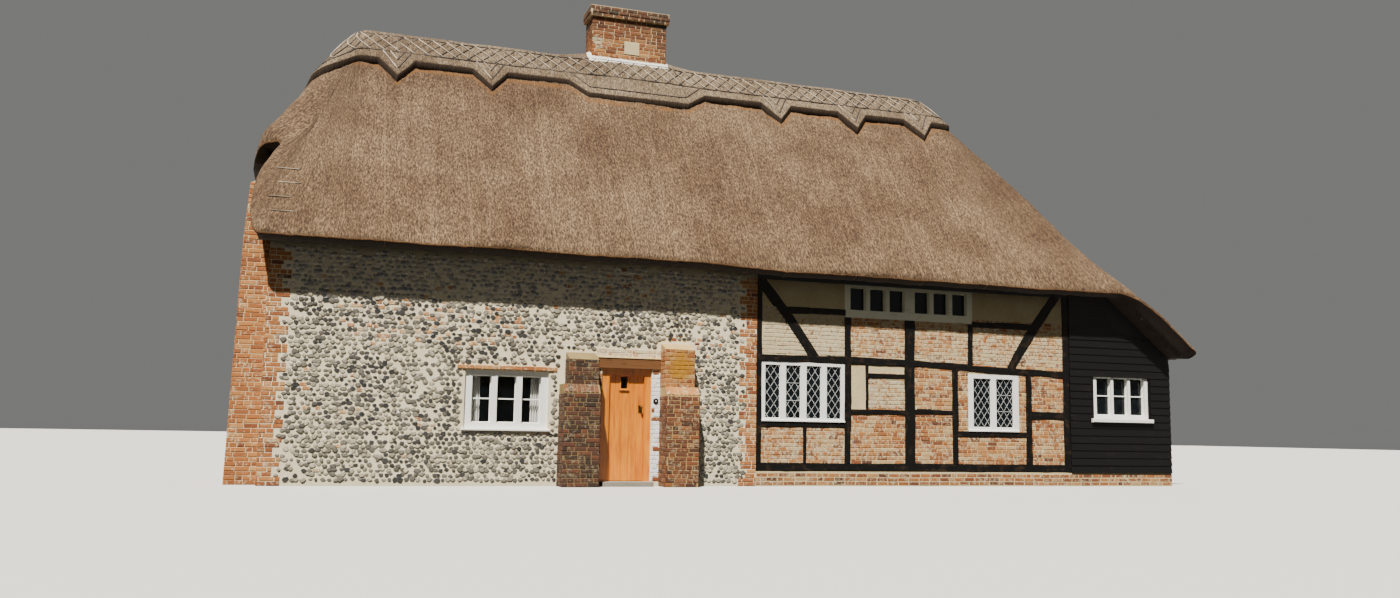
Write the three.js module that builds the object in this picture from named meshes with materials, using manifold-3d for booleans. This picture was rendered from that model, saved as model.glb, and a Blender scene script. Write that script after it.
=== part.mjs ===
// A thatched cottage of one and a half storeys: flint and brick at its west end, timber framing with
// brick infill in the middle, and a weatherboarded outshot under a catslide at its east end.
// Millimetres. +X runs east along the front, +Y from the front wall to the back, +Z up.
// The origin lies on the ground under the middle of the cottage's plan.
import * as THREE from 'three';
import { mergeVertices } from 'three/addons/utils/BufferGeometryUtils.js';
import Module from 'manifold-3d';

const wasm = await Module();
wasm.setup();

// Joint between two pieces that touch
const GAP = 0.3;
// How far a cutting block runs past the face that it opens
const PAST = 10;

// Plan
const HALF_DEPTH = 2900;
const WEST_FACE = -8850;
const FRAME_WEST = -390;
const FRAME_EAST = 6460;
const EAST_FACE = 8950;
const FLINT_WALL = 400;
const FRAME_WALL = 150;
const BOARDED_WALL = 120;
const PLINTH_WALL = 230;
const FRONT = -HALF_DEPTH;
const FLINT_INSIDE = HALF_DEPTH - FLINT_WALL;
const FRAME_INSIDE = HALF_DEPTH - FRAME_WALL;
const PLINTH_INSIDE = HALF_DEPTH - PLINTH_WALL;

// Levels
const GROUND_FLOOR_TOP = 80;
const PLINTH_TOP = 270;
const SILL_BEAM_TOP = 420;
const UPPER_FLOOR = { underside: 2270, top: 2410 };
const WALL_PLATE_UNDERSIDE = 3800;
const UPPER_WINDOW_SILL = 3170;
const ABOVE_ROOF = 9000;

// Thatch: outer surface of the main slopes, the west half hip, the east hip and the catslide
const EAVE_SOFFIT = 3920;
const EAVE_REACH = 450;
const BROW = { back: 70, foot: 50, rise: 170 };
const RIDGE = { halfWidth: 90, shoulder: 8450, top: 8505 };
const RIDGE_WEST = -7750;
const RIDGE_EAST = 4930;
const VERGE = { x: -9050, straightTo: 4600, topX: -8960 };
const HALF_HIP = { dripX: -9250, soffit: 5360, browX: -9210, brow: 5460 };
const HIP_FOOT = { x: 7320, z: 4410 };
const CATSLIDE = { browX: 9290, brow: 2844, dripX: 9350, drip: 2760 };
const HIP_THATCH = 360;
const HIP_ROUNDING = 60;

// Ridge cap: proud of the thatch, its lower edge cut to points, with an apron below the chimney
const CAP_PROUD = 110;
const CAP_EDGE = 7920;
const CAP_POINT = 7520;
const CAP_APRON = 7640;
const CAP_POINTS_X = [-6880, -5110, 920, 2700, 4330];
const CAP_POINT_HALF_WIDTH = 340;
const CAP_APRON_SPAN = { west: -3560, westFoot: -3190, eastFoot: -1110, east: -690 };

// Chimney
const CHIMNEY = { west: -3032, east: -1460, halfDepth: 280, top: 9640 };
const CHIMNEY_HEAD = { foot: 9420, proud: 50 };
const FLUE = { side: 230, depth: 600, spread: 380 };
const PLAQUE = { west: -2350, east: -2035, bottom: 8690, top: 8930, proud: 12 };

// Front door, its frame, lintel, step and the buttresses beside it
const DOORWAY = { west: -3300, east: -2390, head: 2050 };
const LINTEL = { west: -3370, east: -2240, top: 2230, proud: 30 };
const DOOR_FRAME = { face: -2860, back: -2755, westJamb: 130, eastJamb: 100, head: 85, stop: 20 };
const LEAF = { thickness: 45, clearance: 7, floorClearance: 10 };
const VISION_PANEL = { west: -2930, east: -2810, bottom: 1700, top: 1910, thickness: 6 };
const LATCH = {
  west: -2600, east: -2530, bottom: 1280, top: 1410, plate: 6, knobRadius: 22, knobLength: 35,
};
const HINGE = { radius: 7, flap: 60, plate: 3, height: 90, setBack: 2, levels: [340, 1620] };
const STEP = { front: -3150, top: 80 };
const BUTTRESSES = {
  door_buttress_left: {
    upper: [-3950, -3430], lower: [-4050, -3420], wallTop: 2300, frontTop: 2170,
  },
  door_buttress_right: {
    upper: [-2230, -1690], lower: [-2230, -1630], wallTop: 2520, frontTop: 2400,
  },
};
const BUTTRESS_STAGE = { upperReach: 300, lowerReach: 420, offsetTop: 1740, offsetFoot: 1590 };

// Buttress on the west gable: the west edge leans in as it rises
const PIER = { front: -2500, back: -1700, wallTop: 5080 };
const PIER_EDGE = [[-9350, 0], [-9287, 3260], [-9275, 3950], [-9218, 4920]];

// Timber frame: members stand a little proud of the brick infill
const TIMBER_DEPTH = 70;
const BRICK_RECESS = 15;
const POSTS = {
  post_west: { west: -390, east: -280, top: WALL_PLATE_UNDERSIDE },
  post_left: { west: 1407, east: 1534, top: UPPER_WINDOW_SILL },
  post_middle: { west: 2690, east: 2910, top: UPPER_WINDOW_SILL },
  post_east: { west: 6310, east: 6460, top: WALL_PLATE_UNDERSIDE },
};
const MID_RAIL = [[-280, 2280], [2910, 2280], [6310, 2170], [6310, 2292], [2910, 2410], [-280, 2410]];
const BRACE_WEST = [[-400, 3740], [-160, 3740], [879, 2410], [637, 2410]];
const BRACE_EAST = [[6050, 3800], [6260, 3800], [5200, 2330], [4960, 2330]];

// Windows, by their outer frame
const CASEMENT = { lights: 3, stile: 125, mullion: 100, head: 80, foot: 100 };
const WINDOWS = {
  casement_window: { x: [-5663, -4237], z: [960, 1940], ...CASEMENT },
  leaded_window_left: {
    x: [-280, 1407], z: [1180, 2280], lights: 4, stile: 70, mullion: 115, head: 60, foot: 60,
  },
  leaded_window_right: {
    x: [4090, 5250], z: [1060, 2180], lights: 2, stile: 120, mullion: 120, head: 80, foot: 80,
  },
  upper_window: {
    x: [1407, 4200], z: [3170, 3800], lights: 6, stile: 120, mullion: 90, head: 50, foot: 150,
  },
  outshot_window: {
    x: [7040, 8400], z: [1370, 2270], lights: 3, stile: 80, mullion: 60, head: 60, foot: 70,
  },
  rear_casement_window: { x: [-5663, -4237], z: [960, 1940], ...CASEMENT },
  rear_leaded_window: {
    x: [1534, 2690], z: [1180, 2280], lights: 2, stile: 100, mullion: 120, head: 80, foot: 80,
  },
};
const UPPER_WINDOW_POST = 220;
const WINDOW_DEPTH = 90;
const WINDOW_FOOT = Object.fromEntries(
  Object.entries(WINDOWS).map(([name, sizes]) => [name, sizes.z[0] - GAP]));
const PANE = 6;
const PANE_LAP = 15;
const FLINT_REVEAL = 40;
const FRAME_REVEAL = 10;
const CURTAIN = { width: 300, thickness: 15, behindFrame: 60, overSill: 10 };

// Smaller members of the timber frame: west edge, east edge, foot, top
const STUD_FOOT = SILL_BEAM_TOP + GAP;
const SMALL_MEMBERS = {
  bay1Rail: [200, 1407, 3190, 3310],
  bay2Stud: [1850, 1915, 1400, 2300],
  bay2UpperRail: [1900, 2690, 2050, 2125],
  bay2LowerRail: [1534, 2690, 1335, 1430],
  bay3Stud: [3726, 3870, STUD_FOOT, 2260],
  bay3Rail: [2910, 3800, 1370, 1455],
  windowStud: [5410, 5550, STUD_FOOT, 2250],
  windowSill: [3800, 5480, 950, WINDOW_FOOT.leaded_window_right],
  eastRail: [5480, 6310, 1325, 1465],
  upperWindowStud: [4090, 4200, 2330, WINDOW_FOOT.upper_window],
  railUnderWindow: [4150, 5700, 3100, WINDOW_FOOT.upper_window],
  railBesideWindow: [4200, 5700, 3100, 3220],
};
const SILL_RAIL = [-280, 1407, 1070, WINDOW_FOOT.leaded_window_left];
const SILL_RAIL_STUD = [550, 625, STUD_FOOT, 1100];
const REAR_SILL_RAIL = [1524, 2700, 1070, WINDOW_FOOT.rear_leaded_window];
const REAR_RAIL = [FRAME_WEST, FRAME_EAST, 2280 + GAP, UPPER_FLOOR.top];

// Prisms from outlines, blocks and rounds, all as solids that can be joined and cut

function toSolid(geometry) {
  const bare = geometry.index ? geometry.toNonIndexed() : geometry;
  bare.deleteAttribute('normal');
  bare.deleteAttribute('uv');
  const merged = mergeVertices(bare, 1e-3);
  return new wasm.Manifold(new wasm.Mesh({
    numProp: 3,
    vertProperties: new Float32Array(merged.attributes.position.array),
    triVerts: new Uint32Array(merged.index.array),
  }));
}

function toGeometry(solid) {
  const mesh = solid.getMesh();
  const geometry = new THREE.BufferGeometry();
  geometry.setAttribute('position', new THREE.BufferAttribute(new Float32Array(mesh.vertProperties), 3));
  geometry.setIndex(new THREE.BufferAttribute(new Uint32Array(mesh.triVerts), 1));
  return geometry;
}

function extruded(outline, depth) {
  const shape = new THREE.Shape(outline.map(([u, v]) => new THREE.Vector2(u, v)));
  return new THREE.ExtrudeGeometry(shape, { depth, bevelEnabled: false });
}

// Outline in X and Z, extruded from y0 to y1
function prismY(outline, y0, y1) {
  const geometry = extruded(outline, y1 - y0);
  geometry.rotateX(Math.PI / 2);
  geometry.translate(0, y1, 0);
  return toSolid(geometry);
}

// Outline in Y and Z, extruded from x0 to x1
function prismX(outline, x0, x1) {
  const geometry = extruded(outline, x1 - x0);
  const turn = new THREE.Matrix4().makeBasis(
    new THREE.Vector3(0, 1, 0), new THREE.Vector3(0, 0, 1), new THREE.Vector3(1, 0, 0));
  geometry.applyMatrix4(turn);
  geometry.translate(x0, 0, 0);
  return toSolid(geometry);
}

// Outline in X and Y, extruded from z0 to z1
function prismZ(outline, z0, z1) {
  const geometry = extruded(outline, z1 - z0);
  geometry.translate(0, 0, z0);
  return toSolid(geometry);
}

function block(x0, x1, y0, y1, z0, z1) {
  const geometry = new THREE.BoxGeometry(x1 - x0, y1 - y0, z1 - z0);
  geometry.translate((x0 + x1) / 2, (y0 + y1) / 2, (z0 + z1) / 2);
  return toSolid(geometry);
}

function rectangle(x0, x1, z0, z1) {
  return [[x0, z0], [x1, z0], [x1, z1], [x0, z1]];
}

// The outline with every edge moved outwards by a distance, corners mitred
function grown(outline, distance) {
  const area = outline.reduce((sum, [u, v], i) => {
    const [nextU, nextV] = outline[(i + 1) % outline.length];
    return sum + u * nextV - nextU * v;
  }, 0);
  const out = area > 0 ? distance : -distance;
  const edges = outline.map(([u, v], i) => {
    const [nextU, nextV] = outline[(i + 1) % outline.length];
    const length = Math.hypot(nextU - u, nextV - v);
    const direction = [(nextU - u) / length, (nextV - v) / length];
    return { start: [u + direction[1] * out, v - direction[0] * out], direction };
  });
  return edges.map((edge, i) => crossing(edges[(i + edges.length - 1) % edges.length], edge));
}

function crossing(a, b) {
  const cross = a.direction[0] * b.direction[1] - a.direction[1] * b.direction[0];
  const du = b.start[0] - a.start[0];
  const dv = b.start[1] - a.start[1];
  const along = (du * b.direction[1] - dv * b.direction[0]) / cross;
  return [a.start[0] + along * a.direction[0], a.start[1] + along * a.direction[1]];
}

function joined(solids) {
  return solids.reduce((whole, solid) => whole.add(solid));
}

// Roof outlines. Across is the section in Y and Z, along is the front view in X and Z.

const browY = -(HALF_DEPTH + EAVE_REACH - BROW.back);
const browZ = EAVE_SOFFIT + BROW.rise;
const SLOPE = (RIDGE.shoulder - browZ) / (-RIDGE.halfWidth - browY);
const HALF_HIP_SLOPE = (RIDGE.shoulder - HALF_HIP.brow) / (RIDGE_WEST - HALF_HIP.browX);
const HIP_SLOPE = (RIDGE.shoulder - HIP_FOOT.z) / (HIP_FOOT.x - RIDGE_EAST);
const CATSLIDE_SLOPE = (HIP_FOOT.z - CATSLIDE.brow) / (CATSLIDE.browX - HIP_FOOT.x);
const BELOW_THATCH = 2000;
// Well outside the cottage on every side
const OUTSIDE = 12000;

const frontRoof = [
  [-(HALF_DEPTH + EAVE_REACH), BELOW_THATCH],
  [-(HALF_DEPTH + EAVE_REACH), EAVE_SOFFIT + BROW.foot],
  [browY, browZ],
  [-RIDGE.halfWidth, RIDGE.shoulder],
  [-RIDGE.halfWidth / 3, RIDGE.top],
];
const acrossRoof = [...frontRoof, ...frontRoof.map(([y, z]) => [-y, z]).reverse()];

const westHipTop = HALF_HIP.browX + (ABOVE_ROOF - HALF_HIP.brow) / HALF_HIP_SLOPE;
const eastHipTop = HIP_FOOT.x - (ABOVE_ROOF - HIP_FOOT.z) / HIP_SLOPE;
const alongMainRoof = [
  [VERGE.x, BELOW_THATCH],
  [HIP_FOOT.x + (HIP_FOOT.z - BELOW_THATCH) / HIP_SLOPE, BELOW_THATCH],
  [eastHipTop, ABOVE_ROOF],
  [westHipTop, ABOVE_ROOF],
  [HALF_HIP.browX, HALF_HIP.brow],
  [HALF_HIP.dripX, HALF_HIP.soffit],
  [VERGE.topX, HALF_HIP.soffit],
  [VERGE.x, VERGE.straightTo],
];
// The catslide's block starts inside the steep hip, so that the two meet along the hip's foot
const catslideStart = HIP_FOOT.x - 600;
const alongCatslide = [
  [catslideStart, BELOW_THATCH],
  [CATSLIDE.dripX, BELOW_THATCH],
  [CATSLIDE.dripX, CATSLIDE.drip],
  [CATSLIDE.browX, CATSLIDE.brow],
  [catslideStart, HIP_FOOT.z + CATSLIDE_SLOPE * (HIP_FOOT.x - catslideStart)],
];

// Everything below the underside of the thatch: the rooms, and the open air under the eaves
const acrossUnderside = [
  [-OUTSIDE, 0],
  [-OUTSIDE, EAVE_SOFFIT],
  [FRONT, EAVE_SOFFIT],
  [0, EAVE_SOFFIT + HALF_DEPTH * SLOPE],
  [HALF_DEPTH, EAVE_SOFFIT],
  [OUTSIDE, EAVE_SOFFIT],
  [OUTSIDE, 0],
];

function lineThrough([x, z], slope) {
  const length = Math.hypot(1, slope);
  return { start: [x, z], direction: [1 / length, slope / length] };
}

const verticalHipThatch = HIP_THATCH * Math.hypot(1, HIP_SLOPE);
const verticalCatslideThatch = HIP_THATCH * Math.hypot(1, CATSLIDE_SLOPE);
const verticalHalfHipThatch = HIP_THATCH * Math.hypot(1, HALF_HIP_SLOPE);
const undersideBend = crossing(
  lineThrough([HIP_FOOT.x, HIP_FOOT.z - verticalHipThatch], -HIP_SLOPE),
  lineThrough([HIP_FOOT.x, HIP_FOOT.z - verticalCatslideThatch], -CATSLIDE_SLOPE));
const outshotSoffit = CATSLIDE.brow - verticalCatslideThatch
  + CATSLIDE_SLOPE * (CATSLIDE.browX - EAST_FACE);
const halfHipWallTop = HALF_HIP.brow - verticalHalfHipThatch
  + HALF_HIP_SLOPE * (WEST_FACE - HALF_HIP.browX);
const alongUnderside = [
  [-OUTSIDE, 0],
  [OUTSIDE, 0],
  [OUTSIDE, outshotSoffit],
  [EAST_FACE, outshotSoffit],
  undersideBend,
  [undersideBend[0] - (ABOVE_ROOF - undersideBend[1]) / HIP_SLOPE, ABOVE_ROOF],
  [WEST_FACE + (ABOVE_ROOF - halfHipWallTop) / HALF_HIP_SLOPE, ABOVE_ROOF],
  [WEST_FACE, halfHipWallTop],
  [WEST_FACE, HALF_HIP.soffit],
  [-OUTSIDE, HALF_HIP.soffit],
];

// A block that lies beyond the blunted edge between a main slope and a hip
function hipRounding(side, hipNormal, hipPoint, grow) {
  const slopeNormal = new THREE.Vector3(0, side * SLOPE, 1).normalize();
  const slopePoint = new THREE.Vector3(0, side * -browY, browZ);
  const normal = slopeNormal.clone().add(hipNormal);
  const reach = (slopeNormal.dot(slopePoint) + hipNormal.dot(hipPoint)) / normal.length();
  const distance = reach + (2 * grow) / normal.length() - HIP_ROUNDING;
  normal.normalize();
  const size = 2.5 * OUTSIDE;
  const geometry = new THREE.BoxGeometry(size, size, size);
  geometry.translate(0, 0, size / 2 + distance);
  const turn = new THREE.Quaternion().setFromUnitVectors(new THREE.Vector3(0, 0, 1), normal);
  geometry.applyQuaternion(turn);
  return toSolid(geometry);
}

// The roof as a full solid, its outer surface moved out by a distance
function roofSolid(grow) {
  const across = prismX(grown(acrossRoof, grow), -OUTSIDE, OUTSIDE);
  let main = prismY(grown(alongMainRoof, grow), -OUTSIDE, OUTSIDE);
  const westNormal = new THREE.Vector3(-HALF_HIP_SLOPE, 0, 1).normalize();
  const eastNormal = new THREE.Vector3(HIP_SLOPE, 0, 1).normalize();
  const westPoint = new THREE.Vector3(HALF_HIP.browX, 0, HALF_HIP.brow);
  const eastPoint = new THREE.Vector3(HIP_FOOT.x, 0, HIP_FOOT.z);
  for (const side of [-1, 1]) {
    main = main.subtract(hipRounding(side, westNormal, westPoint, grow));
    main = main.subtract(hipRounding(side, eastNormal, eastPoint, grow));
  }
  return main.add(prismY(grown(alongCatslide, grow), -OUTSIDE, OUTSIDE)).intersect(across);
}

function underThatch(grow) {
  return prismX(grown(acrossUnderside, grow), -OUTSIDE, OUTSIDE)
    .intersect(prismY(grown(alongUnderside, grow), -OUTSIDE, OUTSIDE));
}

const rooms = underThatch(0);

function chimneyBlock(clearance) {
  return block(CHIMNEY.west - clearance, CHIMNEY.east + clearance,
    -CHIMNEY.halfDepth - clearance, CHIMNEY.halfDepth + clearance, 0, CHIMNEY.top);
}

// Materials

function material(colour, roughness, metalness = 0) {
  return new THREE.MeshStandardMaterial({ color: colour, roughness, metalness });
}

const flint = material(0xcbbfa6, 0.9);
const brick = material(0xb8714f, 0.9);
const timber = material(0x1f1b19, 0.7);
const boarding = material(0x1a1716, 0.75);
const thatch = material(0x8d7966, 1);
const ridgeThatch = material(0xa29281, 1);
const oak = material(0xc9802c, 0.55);
const beam = material(0x7a4a2a, 0.7);
const whitePaint = material(0xeceae4, 0.4);
const glass = material(0x2c3438, 0.08);
const stone = material(0xa8a196, 0.9);
const floorboards = material(0x8a6a48, 0.7);
const iron = material(0x2b2b2c, 0.5, 0.8);
const brass = material(0xb08d4f, 0.35, 1);
const linen = material(0xe9e4d8, 0.95);

const cottage = new THREE.Group();

function add(name, solid, surface) {
  const mesh = new THREE.Mesh(toGeometry(solid), surface);
  mesh.name = name;
  cottage.add(mesh);
}

// Thatch, one coat on each slope

const plan = (west, x, rate) => {
  const reach = Math.abs(x - west) * rate;
  return [[west, 0], [x, -reach], [x, reach]];
};
const westPlan = plan(RIDGE_WEST, -OUTSIDE, HALF_HIP_SLOPE / SLOPE);
const eastPlan = plan(RIDGE_EAST, OUTSIDE, HIP_SLOPE / SLOPE);
const coat = roofSolid(0).subtract(underThatch(GAP)).subtract(chimneyBlock(GAP));
const westCut = prismZ(grown(westPlan, GAP), 0, ABOVE_ROOF);
const eastCut = prismZ(grown(eastPlan, GAP), 0, ABOVE_ROOF);
const frontHalf = block(-OUTSIDE, OUTSIDE, -OUTSIDE, -GAP / 2, 0, ABOVE_ROOF);
const rearHalf = block(-OUTSIDE, OUTSIDE, GAP / 2, OUTSIDE, 0, ABOVE_ROOF);

add('thatch_front', coat.intersect(frontHalf).subtract(westCut).subtract(eastCut), thatch);
add('thatch_rear', coat.intersect(rearHalf).subtract(westCut).subtract(eastCut), thatch);
add('thatch_west_half_hip', coat.intersect(prismZ(westPlan, 0, ABOVE_ROOF)), thatch);
add('thatch_east_hip', coat.intersect(prismZ(eastPlan, 0, ABOVE_ROOF)), thatch);

// Ridge cap

function capOutline() {
  const points = [[-OUTSIDE, CAP_EDGE]];
  const steps = CAP_POINTS_X.map((x) => [
    [x - CAP_POINT_HALF_WIDTH, CAP_EDGE], [x, CAP_POINT], [x + CAP_POINT_HALF_WIDTH, CAP_EDGE],
  ]);
  const apron = [
    [CAP_APRON_SPAN.west, CAP_EDGE], [CAP_APRON_SPAN.westFoot, CAP_APRON],
    [CAP_APRON_SPAN.eastFoot, CAP_APRON], [CAP_APRON_SPAN.east, CAP_EDGE],
  ];
  const all = [...steps, apron].sort((a, b) => a[0][0] - b[0][0]);
  for (const step of all) points.push(...step);
  points.push([OUTSIDE, CAP_EDGE], [OUTSIDE, CHIMNEY.top], [-OUTSIDE, CHIMNEY.top]);
  return points;
}

const ridgeCap = roofSolid(CAP_PROUD)
  .subtract(roofSolid(GAP))
  .intersect(prismY(capOutline(), -OUTSIDE, OUTSIDE))
  .subtract(chimneyBlock(GAP));
add('ridge_cap', ridgeCap, ridgeThatch);

// Chimney: one stack of brickwork from the ground to its oversailing head, with two flues

function chimneyStack() {
  const middle = (CHIMNEY.west + CHIMNEY.east) / 2;
  const head = block(CHIMNEY.west - CHIMNEY_HEAD.proud, CHIMNEY.east + CHIMNEY_HEAD.proud,
    -CHIMNEY.halfDepth - CHIMNEY_HEAD.proud, CHIMNEY.halfDepth + CHIMNEY_HEAD.proud,
    CHIMNEY_HEAD.foot, CHIMNEY.top);
  const plaque = block(PLAQUE.west, PLAQUE.east,
    -CHIMNEY.halfDepth - PLAQUE.proud, 0, PLAQUE.bottom, PLAQUE.top);
  let stack = joined([chimneyBlock(0), head, plaque]);
  for (const side of [-1, 1]) {
    const x = middle + side * FLUE.spread;
    stack = stack.subtract(block(x - FLUE.side / 2, x + FLUE.side / 2,
      -FLUE.side / 2, FLUE.side / 2, CHIMNEY.top - FLUE.depth, CHIMNEY.top + PAST));
  }
  return stack;
}

add('chimney_stack', chimneyStack(), brick);

// Flint walls, split beside and over the doorway

function windowHole(name, y0, y1) {
  const { x, z } = WINDOWS[name];
  return prismY(grown(rectangle(x[0], x[1], z[0], z[1]), GAP), y0 - PAST, y1 + PAST);
}

function frontWall(outline) {
  return prismY(outline, FRONT, -FLINT_INSIDE).intersect(rooms);
}

const wallWestOfDoor = frontWall([
  [WEST_FACE, 0], [DOORWAY.west, 0], [DOORWAY.west, DOORWAY.head], [LINTEL.west, DOORWAY.head],
  [LINTEL.west, ABOVE_ROOF], [WEST_FACE, ABOVE_ROOF],
]).subtract(windowHole('casement_window', FRONT, -FLINT_INSIDE));
const wallEastOfDoor = frontWall([
  [DOORWAY.east, 0], [FRAME_WEST - GAP, 0], [FRAME_WEST - GAP, ABOVE_ROOF],
  [LINTEL.east, ABOVE_ROOF], [LINTEL.east, DOORWAY.head], [DOORWAY.east, DOORWAY.head],
]);
const wallOverDoor = frontWall(
  rectangle(LINTEL.west + GAP, LINTEL.east - GAP, LINTEL.top + GAP, ABOVE_ROOF));

add('front_wall_left', wallWestOfDoor, flint);
add('front_wall_over_door', wallOverDoor, flint);
add('front_wall_right', wallEastOfDoor, flint);
add('west_gable_wall', block(WEST_FACE, WEST_FACE + FLINT_WALL,
  -FLINT_INSIDE + GAP, FLINT_INSIDE - GAP, 0, ABOVE_ROOF).intersect(rooms), flint);
add('rear_flint_wall', block(WEST_FACE, FRAME_WEST - GAP, FLINT_INSIDE, HALF_DEPTH, 0, ABOVE_ROOF)
  .intersect(rooms)
  .subtract(windowHole('rear_casement_window', FLINT_INSIDE, HALF_DEPTH)), flint);

// Buttress on the gable, cut away where the verge of the thatch crosses it

const pierOutline = [...PIER_EDGE, [WEST_FACE - GAP, PIER.wallTop], [WEST_FACE - GAP, 0]];
add('gable_buttress', prismY(pierOutline, PIER.front, PIER.back)
  .subtract(roofSolid(GAP).subtract(underThatch(-GAP))), brick);

// Two-stage buttresses beside the door

function buttress({ upper, lower, wallTop, frontTop }) {
  const back = FRONT - GAP;
  const upperFace = FRONT - BUTTRESS_STAGE.upperReach;
  const lowerFace = FRONT - BUTTRESS_STAGE.lowerReach;
  const upperStage = [[back, 0], [upperFace, 0], [upperFace, frontTop], [back, wallTop]];
  const lowerStage = [
    [back, 0], [lowerFace, 0], [lowerFace, BUTTRESS_STAGE.offsetFoot],
    [upperFace, BUTTRESS_STAGE.offsetTop], [back, BUTTRESS_STAGE.offsetTop],
  ];
  return prismX(upperStage, upper[0], upper[1]).add(prismX(lowerStage, lower[0], lower[1]));
}

for (const [name, sizes] of Object.entries(BUTTRESSES)) add(name, buttress(sizes), brick);

// Doorway: lintel, step, frame with its stops, and the leaf with its glass, latch and hinges

add('door_lintel', block(LINTEL.west + GAP, LINTEL.east - GAP,
  FRONT - LINTEL.proud, -FLINT_INSIDE, DOORWAY.head + GAP, LINTEL.top), beam);
add('doorstep', block(DOORWAY.west + GAP, DOORWAY.east - GAP,
  STEP.front, -FLINT_INSIDE, 0, STEP.top), stone);

const rebate = {
  west: DOORWAY.west + DOOR_FRAME.westJamb,
  east: DOORWAY.east - DOOR_FRAME.eastJamb,
  head: DOORWAY.head - DOOR_FRAME.head,
};
const leafFront = DOOR_FRAME.back - LEAF.thickness;
const doorOpening = block(rebate.west + DOOR_FRAME.stop, rebate.east - DOOR_FRAME.stop,
  DOOR_FRAME.face - PAST, DOOR_FRAME.back + PAST, 0, rebate.head - DOOR_FRAME.stop);
const doorRebate = block(rebate.west, rebate.east,
  leafFront - LEAF.clearance, DOOR_FRAME.back + PAST, 0, rebate.head);
add('door_frame', block(DOORWAY.west + GAP, DOORWAY.east - GAP,
  DOOR_FRAME.face, DOOR_FRAME.back, STEP.top + GAP, DOORWAY.head)
  .subtract(doorOpening).subtract(doorRebate), oak);

const leaf = {
  west: rebate.west + LEAF.clearance,
  east: rebate.east - LEAF.clearance,
  foot: STEP.top + LEAF.floorClearance,
  head: rebate.head - LEAF.clearance,
};
const visionHole = block(VISION_PANEL.west, VISION_PANEL.east,
  leafFront - PAST, DOOR_FRAME.back + PAST, VISION_PANEL.bottom, VISION_PANEL.top);
add('door_leaf', block(leaf.west, leaf.east, leafFront, DOOR_FRAME.back, leaf.foot, leaf.head)
  .subtract(visionHole), oak);
const paneY = (leafFront + DOOR_FRAME.back) / 2;
add('door_pane', block(VISION_PANEL.west + GAP, VISION_PANEL.east - GAP,
  paneY - VISION_PANEL.thickness / 2, paneY + VISION_PANEL.thickness / 2,
  VISION_PANEL.bottom + GAP, VISION_PANEL.top - GAP), glass);

function latch() {
  const face = leafFront - GAP;
  const plate = block(LATCH.west, LATCH.east, face - LATCH.plate, face, LATCH.bottom, LATCH.top);
  const knob = new THREE.CylinderGeometry(LATCH.knobRadius, LATCH.knobRadius, LATCH.knobLength, 20);
  const middleX = (LATCH.west + LATCH.east) / 2;
  const middleZ = (LATCH.bottom + LATCH.top) / 2;
  knob.translate(middleX, face - LATCH.knobLength / 2, middleZ);
  return plate.add(toSolid(knob));
}

add('door_latch', latch(), brass);

// Hinge knuckle on the axis behind the frame, with a flap on the back of the leaf
const hingeAxis = { x: rebate.west - HINGE.setBack, y: DOOR_FRAME.back + GAP + HINGE.radius };

function hinge(level) {
  const knuckle = new THREE.CylinderGeometry(HINGE.radius, HINGE.radius, HINGE.height, 24);
  knuckle.rotateX(Math.PI / 2);
  knuckle.translate(hingeAxis.x, hingeAxis.y, level);
  const flap = block(hingeAxis.x, leaf.west + HINGE.flap, DOOR_FRAME.back + GAP,
    DOOR_FRAME.back + GAP + HINGE.plate, level - HINGE.height / 2, level + HINGE.height / 2);
  return toSolid(knuckle).add(flap);
}

add('door_hinge_lower', hinge(HINGE.levels[0]), iron);
add('door_hinge_upper', hinge(HINGE.levels[1]), iron);

// Brick plinth under the timber frame and the outshot

add('frame_plinth', prismZ([
  [FRAME_WEST, FRONT], [EAST_FACE, FRONT], [EAST_FACE, HALF_DEPTH], [FRAME_WEST, HALF_DEPTH],
  [FRAME_WEST, PLINTH_INSIDE], [EAST_FACE - PLINTH_WALL, PLINTH_INSIDE],
  [EAST_FACE - PLINTH_WALL, -PLINTH_INSIDE], [FRAME_WEST, -PLINTH_INSIDE],
], 0, PLINTH_TOP), brick);

// Front timber frame: sill beam, wall plate, posts, rails, studs and braces

const framed = (x0, x1, z0, z1) => block(x0, x1, FRONT, -FRAME_INSIDE, z0, z1);
add('front_sill_beam', framed(FRAME_WEST, FRAME_EAST, PLINTH_TOP + GAP, SILL_BEAM_TOP), timber);
add('front_wall_plate', framed(FRAME_WEST, FRAME_EAST, WALL_PLATE_UNDERSIDE + GAP, ABOVE_ROOF)
  .intersect(rooms), timber);

const member = (outline, grow) =>
  prismY(grown(outline, grow), FRONT - grow, FRONT + TIMBER_DEPTH + grow);
const between = (x0, x1, z0, z1) => rectangle(x0 + GAP, x1 - GAP, z0, z1);

for (const [name, { west, east, top }] of Object.entries(POSTS)) {
  add(name, framed(west, east, SILL_BEAM_TOP + GAP, top - GAP).subtract(member(MID_RAIL, GAP)), timber);
}

const {
  post_west: westPost, post_left: leftPost, post_middle: middlePost, post_east: eastPost,
} = POSTS;

// Members that are halved into the middle rail
const halvedMembers = [
  MID_RAIL, BRACE_WEST, BRACE_EAST,
  ...Object.values(SMALL_MEMBERS).map((edges) => between(...edges)),
];
const sillRailMembers = [between(...SILL_RAIL), between(...SILL_RAIL_STUD)];
const insideFrame = block(westPost.east + GAP, eastPost.west - GAP, -OUTSIDE, OUTSIDE,
  SILL_BEAM_TOP, WALL_PLATE_UNDERSIDE - GAP);
const members = (outlines, grow) => joined(outlines.map((outline) => member(outline, grow)));

add('front_framing', members(halvedMembers, 0).intersect(insideFrame), timber);
add('front_sill_rail', members(sillRailMembers, 0), timber);

// Brick infill between the posts, grooved for the members that cross it

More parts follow.
